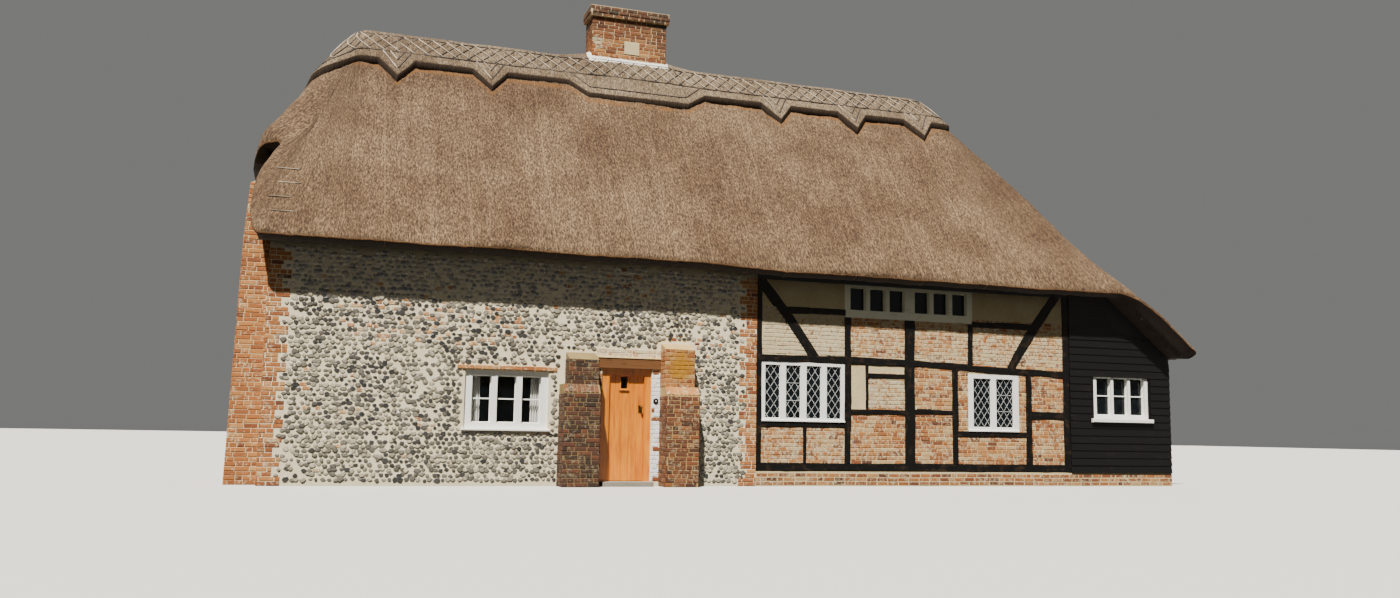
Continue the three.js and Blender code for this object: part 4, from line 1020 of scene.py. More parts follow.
infill = Brickwork("infill_bricks")
PANEL, PANEL_FOOT, PANEL_HEAD = 2.885, 0.42, 3.80     # the panels' distance from the middle, and their levels
BAYS = ((-0.28, 1.407, 2.28, PANEL_HEAD), (-0.28, 1.407, PANEL_FOOT, 1.18), (1.534, 2.690, PANEL_FOOT, 3.17),
        (2.91, 6.31, PANEL_FOOT, PANEL_HEAD))
for i, (x0, x1, z0, z1) in enumerate(BAYS):
    boxes = lay_bricks(z0, z1, (x0, x1), 200 + i, holes=[UPPER_WINDOW, LEFT_WINDOW, RIGHT_WINDOW] + PLASTER)
    wash = panel_wash(boxes[:, :2].mean(1), boxes[:, 2:].mean(1))
    infill.add("front", PANEL, boxes, 210 + i, 0.66, 0.19, wash, 0.3)
boxes = lay_bricks(PANEL_FOOT, PANEL_HEAD, (-6.31, 0.28), 220, holes=[(-2.690, -1.534, 1.180, 2.280)])
infill.add("rear", PANEL, boxes, 221, 0.62, 0.14, 0.35, 0.1)
infill.make(stock_brick)

# %% [markdown]
# ## Flint walls
# Knapped and field flints lie in a thick bed of lime mortar, with odd bits of brick. The mortar is the packed
# solid's own face, and every flint is a low dome in a jittered cell: one broken outline, a rim and a peak. So a
# few dozen faces a stone give real shadows, and the wall keeps its scale: stones of 60 to 100 mm.

# %% Flints
FLINT_PITCH = (0.094, 0.076)


def flint_mesh(face, offset, u, v, wide, tall, proud, seed, sides=6):
    """Domes at (u, v): an irregular ring sunk in the mortar, two rings drawn in as it rises, and a peak."""
    chance = np.random.default_rng(seed)
    count = len(u)
    angle = (np.arange(sides) + chance.uniform(-0.25, 0.25, (count, sides))) * 2 * np.pi / sides
    size = chance.uniform(0.78, 1.12, (count, sides))
    rings = []
    for scale, depth in ((1.0, -0.012), (0.92, 0.45), (0.70, 0.90)):
        ring_u = u[:, None] + wide[:, None] * scale * size * np.cos(angle)
        ring_v = v[:, None] + tall[:, None] * scale * size * np.sin(angle)
        out = proud[:, None] * depth if depth > 0 else np.full((count, 1), depth)
        rings.append(on_face(face, offset, ring_u, ring_v, out))
    peak = on_face(face, offset, (u + wide * chance.uniform(-0.3, 0.3, count))[:, None],
                   (v + tall * chance.uniform(-0.3, 0.3, count))[:, None], proud[:, None])
    points = np.concatenate(rings + [peak], axis=1)
    first = (np.arange(count) * (3 * sides + 1))[:, None, None]
    i = np.arange(sides)
    j = (i + 1) % sides
    side = np.stack([i, j, j + sides, i + sides], axis=1)
    quads = np.concatenate([side, side + sides])[None] + first
    tops = np.stack([i + 2 * sides, j + 2 * sides, np.full(sides, 3 * sides)], axis=1)[None] + first
    backs = np.stack([np.full(sides - 2, 0), i[2:], i[1:-1]], axis=1)[None] + first
    return points.reshape(-1, 3), quads.reshape(-1, 4), np.concatenate([tops, backs], axis=1).reshape(-1, 3)


def flint_cells(u0, u1, v0, v1, top, holes, seed):
    """Jittered centres in staggered rows, below the wall's top and outside the holes."""
    chance = np.random.default_rng(seed)
    grid_u, grid_v = np.meshgrid(np.arange(u0, u1, FLINT_PITCH[0]), np.arange(v0, v1, FLINT_PITCH[1]))
    grid_u = grid_u + 0.5 * FLINT_PITCH[0] * (np.arange(len(grid_u)) % 2)[:, None]
    u, v = ((grid + chance.uniform(-0.22, 0.22, grid.shape) * pitch).ravel()
            for grid, pitch in zip((grid_u, grid_v), FLINT_PITCH))
    keep = (u < u1 - 0.02) & (u > u0 + 0.02) & (v < top(u) - 0.03) & (v > 0.055)
    for h0, h1, g0, g1 in holes:
        keep &= ~((u > h0 - 0.02) & (u < h1 + 0.02) & (v > g0 - 0.02) & (v < g1 + 0.02))
    return u[keep], v[keep]


# %% [markdown]
# Flint breaks like glass: black or smoky grey and slightly glossy inside, with a chalky white rind.
# Where a stone meets the mortar it is ringed in near black: painted shadow.

# %% Flint
flint, tree, world = new_finish("knapped flint with chalk rind", 0.38)
values = add_node(tree, "Attribute", attribute_name="stone", out="Vector")
tone, rind, edge_shadow = add_node(tree, "SeparateXYZ", values, out=None)
cloud = add_node(tree, "TexNoise", world, Scale=38.0, Detail=3.0)
core = ramp(tree, tone, (0.0, "#232322"), (0.3, "#3d3b38"), (0.6, "#6d675c"), (0.8, "#a39a86"), (1.0, "#d6caaf"))
core = blend(tree, 0.6, core, ramp(tree, cloud, (0.35, "#8d8a88"), (0.6, "#ffffff")), "MULTIPLY")
rim = add_node(tree, "Math", rind, cloud, operation="ADD")
rim = add_node(tree, "MapRange", Value=rim, From_Min=1.15, From_Max=1.45)
core = blend(tree, rim, core, rgb("#e0d7c0"))
# The third value darkens the outer rings to near black: painted shadow where the stone meets the mortar.
wire(tree, blend(tree, edge_shadow, core, rgb("#211c17")))

# %% Flint walls


def teeth(u0, u1, grows):
    """One rectangle for each pair of courses of a quoin, so that flints fill in beside its short courses."""
    return [(u0 + 0.13 * (k % 2) * (grows < 0), u1 - 0.13 * (k % 2) * (grows > 0), 0.15 * k, 0.15 * k + 0.15)
            for k in range(26)]


WALL_HOLES = [(-5.70, -4.20, 0.92, 2.04), (-3.42, -2.22, 0.0, 2.42), (-4.06, -3.40, 0.0, 2.32),
              (-2.26, -1.62, 0.0, 2.54), (-5.81, -4.09, 1.94, 2.05)]
WALL_HOLES += teeth(-0.74, -0.3, -1) + teeth(-8.9, -8.49, 1)
REAR_HOLES = [(4.20, 5.70, 0.92, 2.04), (4.09, 5.81, 1.94, 2.05)] + teeth(0.3, 0.74, 1) + teeth(8.49, 8.9, -1)
GABLE_HOLES = [(1.69, 2.51, 0.0, 5.1)] + teeth(-3.0, -2.54, 1) + teeth(2.54, 3.0, -1)
WALLS = (("front", "front", WALL, -GABLE, -0.39, lambda u: 3.86 + u * 0, WALL_HOLES),
         ("rear", "rear", WALL, 0.39, GABLE, lambda u: 3.86 + u * 0, REAR_HOLES),
         ("gable", "west", GABLE, -WALL, WALL,
          lambda u: np.minimum(WALL_TOP + (WALL - np.abs(u)) * MAIN, GABLE_TOP), GABLE_HOLES))
# How far the chalk rind and the painted shadow round each stone's edge reach over a flint's rings and its peak
RIND_REACH, EDGE_SHADOW_REACH = np.repeat([1.0, 0.30, 0.0], (12, 6, 1)), np.repeat([1.0, 0.8, 0.10, 0.0], (6, 6, 6, 1))
for i, (name, face, offset, u0, u1, top, holes) in enumerate(WALLS):
    u, v = flint_cells(u0, u1, 0.03, 5.4, top, holes, 300 + i)
    chance = np.random.default_rng(310 + i)
    spot = np.stack([u, v], axis=1)
    cluster = noise(spot, 0.9, 11)
    brick_bit = chance.random(len(u)) < np.where((cluster > 0.66) & (v > 1.2), 0.16, 0.01)
    bare = chance.random(len(u)) < np.where(noise(spot, 0.7, 12) > 0.72, 0.20, 0.02)
    is_flint = ~brick_bit & ~bare
    fu, fv = u[is_flint], v[is_flint]
    scale = chance.uniform(0.65, 1.12, len(fu))
    domes = flint_mesh(face, offset, fu, fv, 0.059 * scale * chance.uniform(0.8, 1.15, len(fu)),
                       0.047 * scale * chance.uniform(0.85, 1.1, len(fu)), chance.uniform(0.008, 0.020, len(fu)),
                       320 + i)
    pale = chance.random(len(fu)) < 0.70 + 0.7 * (noise(np.stack([fu, fv], 1), 0.6, 13) - 0.5)
    tone = np.where(pale, chance.uniform(0.55, 1.0, len(fu)), chance.uniform(0.0, 0.6, len(fu)))
    rind = np.where(pale, 0.0, chance.uniform(0.1, 1.0, len(fu)))[:, None]
    # Pale stones get a strong dark outline and dark stones a weak one: painted shadow.
    edge_shadow = np.where(pale, chance.uniform(0.8, 1.0, len(fu)), chance.uniform(0.0, 0.4, len(fu)))[:, None]
    stone = np.stack(np.broadcast_arrays(tone[:, None], RIND_REACH * rind, EDGE_SHADOW_REACH * edge_shadow), axis=-1)
    make_piece("flints_" + name, domes, flint, values={"stone": stone})
    bits = Brickwork("brick_bits_" + name)
    half = chance.uniform(0.035, 0.062, brick_bit.sum())
    bu, bv = u[brick_bit], v[brick_bit]
    boxes = np.stack([bu - half, bu + half, bv - 0.028, bv + 0.028], axis=1)
    bits.add(face, offset, boxes, 330 + i, 0.6, 0.15, 0.42)
    bits.make(stock_brick)
flint_mortar = mortar_finish("flint wall mortar", "#fff5d8", "#e8d9b0", distance=0.010)
set_finish(flint_mortar, "front_wall_left", "front_wall_over_door", "front_wall_right", "west_gable_wall",
           "rear_flint_wall")

# %% [markdown]
# ## Black timber
# The oak frame is painted black over an adzed face: long shallow facets, open grain along each beam and brown
# wear where the paint has gone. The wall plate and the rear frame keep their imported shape, and the other front
# timbers are made again at the end. Grain must run along each one, so upright pieces and level pieces get the
# same recipe with the pattern stretched the other way.

# %% Painted oak


def painted_finish(name, colour, worn, along, rough=0.55, depth=0.004, amount=0.35, shine=0.15):
    """Paint over grain: noise stretched 12 times along one axis, chips of the under colour, a soft sheen."""
    material, tree, world = new_finish(name, rough, Specular_IOR_Level=shine)
    stretch = [28.0, 28.0, 28.0]
    stretch["xyz".index(along)] = 2.2
    grain = drawn_out(tree, world, stretch, Detail=5.0, Roughness=0.65)
    patch = add_node(tree, "TexNoise", world, Scale=5.0, Detail=4.0, Roughness=0.6)
    both = add_node(tree, "Math", grain, patch, operation="MULTIPLY")
    chipped = add_node(tree, "MapRange", Value=both, From_Min=0.30, From_Max=0.46, To_Max=amount)
    wire(tree, blend(tree, chipped, rgb(colour), rgb(worn)), grain, depth)
    return material


black_upright = painted_finish("black paint on upright oak", "#060505", "#241b14", "z", rough=0.75)
black_level = painted_finish("black paint on level oak", "#060505", "#241b14", "x", rough=0.75)
set_finish(black_upright, "post_west", "post_left", "post_middle", "post_east", "rear_timber_frame")
set_finish(black_level, "front_sill_beam", "front_wall_plate", "front_framing", "front_sill_rail")

# %% [markdown]
# ## Weatherboards
# The outshot wears feather-edged boards, 150 mm to the weather, each lapping the one below and tarred black.
# A board is a long wedge: 6 mm at the top and 22 mm at the drip. A row is cut short by the catslide and by the
# window. Their small warps are in the mesh, so the laps throw an uneven shadow line.

# %% Weatherboards
EXPOSURE, LAP = 0.150, 0.022
BOARDS_WEST = 6.46
OUTSHOT_WINDOW = (6.985, 8.455, 1.285, 2.275)


def board_mesh(face, offset, boards, foot=0.022, top=0.006):
    """Boards, each (u of its four corners, v0, v1): thick at the foot and a little warped."""
    boards = np.array(boards)
    warp = np.random.default_rng(400).uniform(-0.002, 0.003, (len(boards), 2))
    depth = np.column_stack([foot + warp, np.full((len(boards), 2), top)])
    return slab_mesh(face, offset, boards[:, :4], boards[:, [4, 4, 5, 5]], -0.008, depth)


def catslide_reach(z):
    """How far east a board can run at a level before it meets the underside of the thatch."""
    return np.minimum(EAST_WALL, np.where(z < 3.03, EAST_WALL - (z - 2.60) / CATSLIDE,
                                          CATSLIDE_X - (z - 3.66) / HIP))


front_boards, rear_boards, east_boards = [], [], []
for low in np.arange(0.27, 3.80, EXPOSURE):
    levels = low, low + EXPOSURE + LAP
    foot, top = catslide_reach(np.array(levels))
    if OUTSHOT_WINDOW[2] < low + EXPOSURE / 2 < OUTSHOT_WINDOW[3]:
        near, far = OUTSHOT_WINDOW[:2]
        front_boards += [(BOARDS_WEST, near, near, BOARDS_WEST, *levels), (far, foot, top, far, *levels)]
    else:
        front_boards.append((BOARDS_WEST, foot, top, BOARDS_WEST, *levels))
    if low < 3.55:
        rear_boards.append((-foot, -BOARDS_WEST, -BOARDS_WEST, -top, *levels))
    if low < 2.50:
        east_boards.append((-WALL, WALL, WALL, -WALL, *levels))
tarred = painted_finish("tarred weatherboard", "#080707", "#1d1916", "x", rough=0.7, amount=0.5)
boards = [board_mesh("front", WALL, front_boards), board_mesh("rear", WALL, rear_boards),
          board_mesh("east", EAST_WALL, east_boards)]
make_piece("weatherboards", join_meshes(boards), tarred)
set_finish(tarred, "outshot_front_wall", "outshot_rear_wall", "outshot_east_wall")

# %% [markdown]
# ## White windows
# The frames are softwood under white gloss. Inside each light stands a thin sash, and the old lights at the
# front have diamond panes: leads of 9 mm at 35 degrees to the upright, cut off where they meet the sash.

# %% Window lights
WHITE_WINDOWS = {   # face, depth of the frame's face, x0, x1, z0, z1, lights, stile, mullion, middle, head, foot
    "casement": ("front", 2.86, -5.663, -4.237, 0.96, 1.94, 3, 0.125, 0.100, None, 0.080, 0.100),
    "leaded_left": ("front", 2.89, -0.280, 1.407, 1.18, 2.28, 4, 0.070, 0.115, None, 0.060, 0.060),
    "leaded_right": ("front", 2.89, 4.090, 5.250, 1.06, 2.18, 2, 0.120, 0.120, None, 0.080, 0.080),
    "upper": ("front", 2.89, 1.407, 4.200, 3.17, 3.80, 6, 0.120, 0.090, 0.220, 0.050, 0.150),
    "outshot": ("front", 2.89, 7.040, 8.400, 1.37, 2.27, 3, 0.080, 0.060, None, 0.060, 0.070),
    "rear_casement": ("rear", 2.86, 4.237, 5.663, 0.96, 1.94, 3, 0.125, 0.100, None, 0.080, 0.100),
    "rear_leaded": ("rear", 2.89, -2.690, -1.534, 1.18, 2.28, 2, 0.100, 0.120, None, 0.080, 0.080)}


def lights_of(x0, x1, count, stile, mullion, middle):
    """Left and right edges of each light between the stiles and mullions."""
    widths = [mullion] * (count - 1)
    if middle:
        widths[count // 2 - 1] = middle
    clear = (x1 - x0 - 2 * stile - sum(widths)) / count
    starts = x0 + stile + np.concatenate([[0], np.cumsum(np.array(widths) + clear)])
    return np.stack([starts, starts + clear], axis=1)


joinery, leadwork, leaded_panes = {"gloss": [], "cream": []}, [], []


def add_bar(paint, face, plane, u0, u1, v0, v1, proud, sink=0.0, worn=0.003):
    """One painted bar with a soft front edge, standing proud of a plane."""
    joinery[paint].append(block_mesh(face, plane, np.array([[u0, u1, v0, v1]]), 500, proud=(proud, proud),
                                     worn=worn, sink=sink))


def lead_lines(a, b, low, high, wide=0.142, tall=0.206):
    """Ends of both families of slanting lines in a light, clipped to its edges: z = z0 +/- 1.45 (x - a)."""
    slope = tall / wide
    rows = np.arange(low - slope * (b - a), high + slope * (b - a), tall)
    ends = []
    for way in (1, -1):
        base = rows + (0.5 * tall if way < 0 else 0)
        x_low = np.clip(a + (low - base) / (way * slope), a, b)
        x_high = np.clip(a + (high - base) / (way * slope), a, b)
        first, last = np.minimum(x_low, x_high), np.maximum(x_low, x_high)
        keep = last - first > 0.01
        line = np.stack([first, base + way * slope * (first - a), last, base + way * slope * (last - a)], axis=1)
        ends.append(line[keep])
    return np.concatenate(ends)


def lead_mesh(face, plane, lines, width=0.009, proud=0.004):
    """A flat strip along each line (u0, v0, u1, v1): four corners, raised by 4 mm."""
    start, end = lines[:, :2], lines[:, 2:]
    across = unit(end - start)[:, ::-1] * [-width / 2, width / 2]
    corners = np.stack([start - across, end - across, end + across, start + across], axis=1)
    return slab_mesh(face, plane, corners[..., 0], corners[..., 1], -0.001, proud)


# %% Sashes, bars and leads
LEADED_DEPTH, GLASS_DEPTH = 0.032, 0.09     # how far the panes lie behind the frame's face
for name, (face, plane, x0, x1, z0, z1, count, stile, mullion, middle, head, foot) in WHITE_WINDOWS.items():
    leaded, barred = "leaded" in name, "casement" in name or name == "outshot"
    glass_plane, bar = (plane - LEADED_DEPTH, 0.014) if leaded else (plane - GLASS_DEPTH, 0.034)
    paint = "cream" if name == "upper" else "gloss"
    sash = 0.016 if barred else 0.008
    low, high = z0 + foot, z1 - head
    for number, (a, b) in enumerate(lights_of(x0, x1, count, stile, mullion, middle)):
        bars = [(a - 0.002, a + sash, low, high, bar), (b - sash, b + 0.002, low, high, bar),
                (a + sash, b - sash, low - 0.002, low + sash, bar - 0.001),
                (a + sash, b - sash, high - sash, high + 0.002, bar - 0.001)]
        if barred:
            level = 1.465 if "casement" in name else 1.835
            bars.append((a + sash, b - sash, level - 0.011, level + 0.011, 0.026))
        for edges in bars:
            add_bar(paint, face, glass_plane, *edges)
        if leaded:
            pane = np.array([[a - 0.004, b + 0.004, low - 0.004, high + 0.004]])
            leaded_panes.append(block_mesh(face, glass_plane, pane, 501, proud=(0.0, 0.0), worn=0.0005,
                                           sink=0.004))
            lines = lead_lines(a + sash, b - sash, low + sash, high - sash)
            leadwork.append(lead_mesh(face, glass_plane, lines))
            if number == 1:
                rods = np.array([[a + sash, v, b - sash, v] for v in np.linspace(low, high, 4)[1:-1]])
                leadwork.append(lead_mesh(face, glass_plane + 0.004, rods, width=0.010, proud=0.006))
    if name == "outshot":
        add_bar(paint, face, WALL, x0 - 0.08, x1 + 0.08, 1.29, 1.368, 0.075, sink=0.01, worn=0.01)
    elif barred:
        add_bar(paint, face, WALL, x0 - 0.04, x1 + 0.04, 0.922, 0.962, 0.045, sink=0.03, worn=0.008)
    elif leaded:
        add_bar(paint, face, WALL, x0, x1, z0 - 0.004, z0 + 0.028, 0.022, sink=0.012, worn=0.006)

# %% [markdown]
# The leaded panes stand 32 mm behind the face of their frames, nearer to it than the imported sheets of glass, so
# they are made again here. White gloss over old softwood: brush ribs 2 mm apart, a little grey dirt in the
# hollows, a clear sheen. The upper window has kept an older cream coat, chalky and flaking under the eave.
# Leads weather to a pale matt grey. The panes are old crown glass, coloured near black and partly opaque: painted
# shade of the unlit rooms behind them.

# %% Paint, lead and glass
white_gloss = painted_finish("white gloss paint", "#eeede6", "#b9b2a4", "z", rough=0.32, depth=0.0015,
                             amount=0.4, shine=0.4)
old_cream = painted_finish("flaking cream paint", "#f2eecf", "#a89c78", "x", rough=0.7, depth=0.004, amount=0.6)
make_piece("window_sashes_and_sills", join_meshes(joinery["gloss"]), white_gloss)
make_piece("upper_window_sashes", join_meshes(joinery["cream"]), old_cream)
set_finish(white_gloss, *[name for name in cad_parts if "window" in name and name.endswith("_frame")])
set_finish(old_cream, "upper_window_frame")

lead = cloudy_finish("weathered lead came", 0.6, (40.0, 2.0, 0.5), (0.35, "#8d9092"), (0.65, "#c9cac8"),
                     Metallic=0.55)
make_piece("window_leads", join_meshes(leadwork), lead)

PANES = [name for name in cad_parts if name.endswith("_glass")]
REAR_PANES = [name for name in PANES if "rear" in name]
CLEAR_PANES = ["door_pane", "casement_window_glass"]
# Opacity sets how much of the near-black glass colour shows: painted shade, strongest on the rear windows, then
# the leaded, upper and outshot ones.
GLAZING = (("clear window glass", 0.14, CLEAR_PANES), ("rear window glass with painted shade", 0.85, REAR_PANES),
           ("old window glass with painted shade", 0.65, [name for name in PANES if name not in CLEAR_PANES + REAR_PANES]))
for title, opacity, panes in GLAZING:
    glass = cloudy_finish(title, 0.04, (6.0, 1.0, 0.5), (0.3, "#0c1012"), (0.7, "#161c1f"), bump=(0.004, 0.4),
                          Alpha=opacity, IOR=1.52)
    set_finish(glass, *panes)
# The last glass of the list is the old one, which the leaded panes have too
make_piece("leaded_window_panes", join_meshes(leaded_panes), glass,
           replaces=[name for name in PANES if "leaded" in name])

# %% [markdown]
# ## Front door
# The leaf is made of upright oak boards with V joints, varnished to a warm gold, with a small dark pane at eye
# height. Each board is one six-sided section drawn upwards. The two that the pane cuts are in three lengths.

# %% Door boards


def plank_mesh(x0, x1, z0, z1, front, back, chamfer=0.006):
    """An upright board: a six-sided section, both front edges chamfered, from z0 to z1."""
    outline = np.array([(x0, back), (x1, back), (x1, front + chamfer), (x1 - chamfer, front),
                        (x0 + chamfer, front), (x0, front + chamfer)])
    points = np.concatenate([np.column_stack([outline, np.full(6, z)]) for z in (z0, z1)])
    ends = [[0, 1, 2, 3], [0, 3, 4, 5], [9, 8, 7, 6], [11, 10, 9, 6]]
    return points, np.concatenate([grid_faces(2, 6, closed=1)[:, [1, 0, 3, 2]], ends])


PANE = (-2.930, -2.810, 1.700, 1.910)
DOOR_FOOT, DOOR_HEAD, DOOR_FRONT = 0.090, 1.958, 2.800
edges = np.linspace(-3.163, -2.497, 6)
planks = []
for i, (a, b) in enumerate(zip(edges[:-1] + 0.0004, edges[1:] - 0.0004)):
    if i in (1, 2):
        beside = (a, PANE[0]) if i == 1 else (PANE[1], b)
        planks += [(a, b, DOOR_FOOT, PANE[2]), (*beside, PANE[2], PANE[3]), (a, b, PANE[3], DOOR_HEAD)]
    else:
        planks.append((a, b, DOOR_FOOT, DOOR_HEAD))
door_mesh = join_meshes([plank_mesh(*plank, -DOOR_FRONT, -2.755) for plank in planks])

# %% [markdown]
# European oak under amber varnish: long dark pores 1 mm wide, cathedral figure 60 mm across, satin to gloss.

# %% Varnished oak


def oak_finish(name, dark, middle, light, rough=0.35, strength=0.5):
    """Oak drawn along z: broad figure from noise stretched 9 times, fine pores from noise stretched 25 times."""
    material, tree, world = new_finish(name, rough, Coat_Weight=0.25, Coat_Roughness=0.2)
    broad = drawn_out(tree, world, (16, 16, 1.7), Detail=4.0, Distortion=0.6)
    fine = drawn_out(tree, world, (220, 220, 8), Detail=3.0)
    colour = ramp(tree, broad, (0.3, dark), (0.5, middle), (0.7, light))
    colour = blend(tree, strength, colour, ramp(tree, fine, (0.35, "#96826c"), (0.6, "#ffffff")), "MULTIPLY")
    wire(tree, colour, fine, 0.0012, 0.6)
    return material


golden_oak = oak_finish("varnished golden oak", "#b86000", "#d67a02", "#e68e08", strength=0.2)
make_piece("door_boards", door_mesh, golden_oak, body="front_door", replaces=["door_leaf"])
left, right, foot, head = PANE
trim = [block_mesh("front", DOOR_FRONT, np.array([box]), 510, proud=(0.012, 0.012), worn=0.003, sink=0.001)
        for box in ((left - 0.016, left, foot - 0.016, head + 0.016),
                    (right, right + 0.016, foot - 0.016, head + 0.016),
                    (left, right, head, head + 0.016), (left, right, foot - 0.016, foot))]
shelf = np.array([[left - 0.03, right + 0.03, foot - 0.034, foot - 0.016]])
trim.append(block_mesh("front", DOOR_FRONT, shelf, 511, proud=(0.026, 0.026), worn=0.004, sink=0.001))
make_piece("door_pane_moulding", join_meshes(trim), golden_oak, body="front_door")
set_finish(golden_oak, "door_frame")

# %% Lintel, latch, bell push, hinges and step
stained_beam = painted_finish("stained lintel beam", "#68462a", "#34200f", "x", depth=0.006, amount=0.9)
pale_board = painted_finish("pale weathered board", "#d9bd8e", "#a07c50", "x", rough=0.7, amount=0.6)
set_finish(stained_beam, "door_lintel")
board = block_mesh("front", WALL, np.array([[-3.395, -2.215, 2.226, 2.250]]), 520, proud=(0.041, 0.041),
                   worn=0.004, sink=0.01)
make_piece("lintel_drip_board", board, pale_board)

old_brass = cloudy_finish("aged brass", 0.38, (60.0, 3.0, 0.5), (0.35, "#33261a"), (0.65, "#6b4f2a"),
                          Metallic=1.0)
set_finish(old_brass, "door_latch")
black_iron = cloudy_finish("forged black iron", 0.55, (80.0, 3.0, 0.5), (0.35, "#18171a"), (0.65, "#2e2c2c"),
                           Metallic=0.8)
set_finish(black_iron, "door_hinge_lower", "door_hinge_upper")


def turned_mesh(centre, profile, sides=20):
    """A profile of (radius, distance out) turned about an axis that points to the front."""
    radius, out = np.array(profile).T[..., None]
    angle = np.arange(sides) * 2 * np.pi / sides
    points = on_face("front", centre, radius * np.cos(angle), radius * np.sin(angle), out)
    return points.reshape(-1, 3), grid_faces(len(profile), sides, closed=1)


knob = turned_mesh((-2.565, -2.835, 1.375), [(0.0, 0.0), (0.008, 0.0), (0.008, 0.02), (0.02, 0.026),
                                             (0.026, 0.038), (0.022, 0.05), (0.01, 0.056), (0.0, 0.057)])
make_piece("door_knob", knob, old_brass, body="front_door", smooth=True, weld=True)
BELL = (-2.31, -WALL, 1.49)
plate = turned_mesh(BELL, [(0.0, -0.01), (0.050, -0.01), (0.050, 0.012), (0.042, 0.020), (0.0, 0.020)])
make_piece("bell_push_plate", plate, black_iron, weld=True)
button = turned_mesh(BELL, [(0.0, 0.018), (0.012, 0.018), (0.012, 0.022), (0.009, 0.025), (0.0, 0.026)])
make_piece("bell_push_button", button, white_gloss, weld=True)

worn_stone = mortar_finish("worn step stone", "#a9a294", "#7f786b", distance=0.004)
set_finish(worn_stone, "doorstep", "ground_floor")
floor_oak = oak_finish("plain floorboards", "#6d4c2b", "#8c6740", "#a5825a", rough=0.6)
set_finish(floor_oak, "upper_floor")

# %% [markdown]
# ## Chimney foot and top
# White mortar seals the stack to the straw: a fillet dabbed on by hand, wider at its front west corner. It is a
# profile of six points carried round the stack, with noise in how far it spreads. On top of the stack, mortar
# slopes up to each flue.

# %% Flashing and flaunching


def around_rectangle(x0, x1, y0, y1, step):
    """Points anticlockwise round a rectangle and the direction out of it at each, square at the corners."""
    corners = np.array([(x0, y0), (x1, y0), (x1, y1), (x0, y1), (x0, y0)], float)
    points, outs = [], []
    for a, b in zip(corners[:-1], corners[1:]):
        length = np.linalg.norm(b - a)
        t = np.linspace(0, 1, max(int(length / step), 2), endpoint=False)[:, None]
        points.append(a + (b - a) * t)
        out = np.array([(b - a)[1], -(b - a)[0]]) / length
        outs.append(np.repeat(out[None], len(t), axis=0))
    points, outs = np.concatenate(points), np.concatenate(outs)
    return points, unit(outs + np.roll(outs, 1, axis=0))


spot, out = around_rectangle(STACK[0], STACK[1], -STACK[2], STACK[2], 0.045)
corner = np.exp(-((spot[:, 0] - STACK[0]) ** 2 + (spot[:, 1] + STACK[2]) ** 2) / 0.02)
spread = 0.060 + 0.015 * noise(spot, 0.16, 14) + 0.03 * corner


def beside_stack(distance, lift):
    """Points at a distance out from the stack: on the cap's own height plus a lift."""
    place = spot + out * np.reshape(distance, (-1, 1))
    return at_height(place, cap_top(place) + lift)


dabs = 0.01 * noise(spot, 0.12, 15)
fillet = np.stack([beside_stack(-0.02, -0.02), beside_stack(-0.02, 0.030 + dabs),
                   beside_stack(0.006, 0.028 + dabs), beside_stack(spread * 0.55, 0.020),
                   beside_stack(spread, 0.010), beside_stack(spread * 0.9, -0.05)])
make_piece("chimney_flashing", (fillet, grid_faces(6, len(spot), closed=1, ring=1)[:, ::-1]),
           mortar_finish("white flashing mortar", "#f1efe8", "#d6d2c6"))
# Half widths along and across the stack, and the level, of each ring of the mortar round a flue
COLLAR = ((0.30, 0.24, 9.630), (0.30, 0.24, 9.648), (0.150, 0.150, 9.700), (0.117, 0.117, 9.700),
          (0.117, 0.117, 9.630))
FLUES = (-2.626, -1.866)
collars = [(np.array([(flue + side * a, way * b, z) for a, b, z in COLLAR for side, way in SQUARE]),
            grid_faces(5, 4, closed=1, ring=1)) for flue in FLUES]
make_piece("chimney_flaunching", join_meshes(collars), soot_mortar)

# %% [markdown]
# ## Curtains
# Unlined linen, 0.72 m wide each and drawn into a gather 0.27 m wide inside the casement. A gathered curtain is
# a flat strip pushed together, so its fold depth follows from its length: a wave is laid across it, and its
# height is found by halving until the wave is as long as the cloth is wide. The folds sway a little to the side
# on their way down.

# %% Curtains
CLOTH_WIDE, CLOTH_LONG, GATHER = 0.72, 0.95, 0.27


def gather_path(depth, folds, wide, phase, count=121):
    """The cloth seen from above: x runs across the gather, y is a rounded wave of the given depth."""
    t = np.linspace(0, 1, count)
    x = wide * t + 0.004 * np.sin(4 * np.pi * folds * t + phase)
    return np.stack([x, depth * np.sin(2 * np.pi * folds * t + phase)], axis=1)


def fold_depth(folds, wide, phase):
    """Depth of wave at which the path is as long as the cloth is wide, by repeated halving."""
    low, high = 0.0, 0.06
    for _ in range(30):
        middle = (low + high) / 2
        short = travelled(gather_path(middle, folds, wide, phase))[-1] < CLOTH_WIDE
        low, high = (middle, high) if short else (low, middle)
    return low


linen, tree, world = new_finish("white linen", 0.85, Sheen_Weight=0.2)
slubs = drawn_out(tree, world, (260, 260, 180), Detail=2.0)
wire(tree, ramp(tree, slubs, (0.3, "#eceae2"), (0.65, "#fbfaf5")), slubs, 0.0008, 0.6)
TOP, HEM, HANG_Y, FOLDS = 1.935, 0.985, -2.695, 6.5
for name, x0, phase in (("curtain_left", -5.655, 0.4), ("curtain_right", -4.515, 2.1)):
    depth = fold_depth(FOLDS, GATHER, phase)
    rings = []
    for z in np.linspace(TOP, HEM, 40):
        path = gather_path(depth, FOLDS, GATHER, phase + 0.35 * np.sin(3 * (TOP - z) / CLOTH_LONG))
        rings.append(at_height(path + [x0, HANG_Y], z))
    piece = make_piece("gathered_" + name, (rings, grid_faces(*np.shape(rings)[:2])[:, ::-1]), linen,
                       replaces=[name], smooth=True)
    print(name, "folds", round(depth * 2000), "mm deep")

# %% [markdown]
# ## Hewn timbers
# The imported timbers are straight, but old oak was squared with an axe: its edges wander by a centimetre and its
# face is in shallow facets. Each member is a six-sided section carried along its centre line, with both edges
# moved by noise. The grain follows an attribute along the member, so a sloping brace needs no own material.

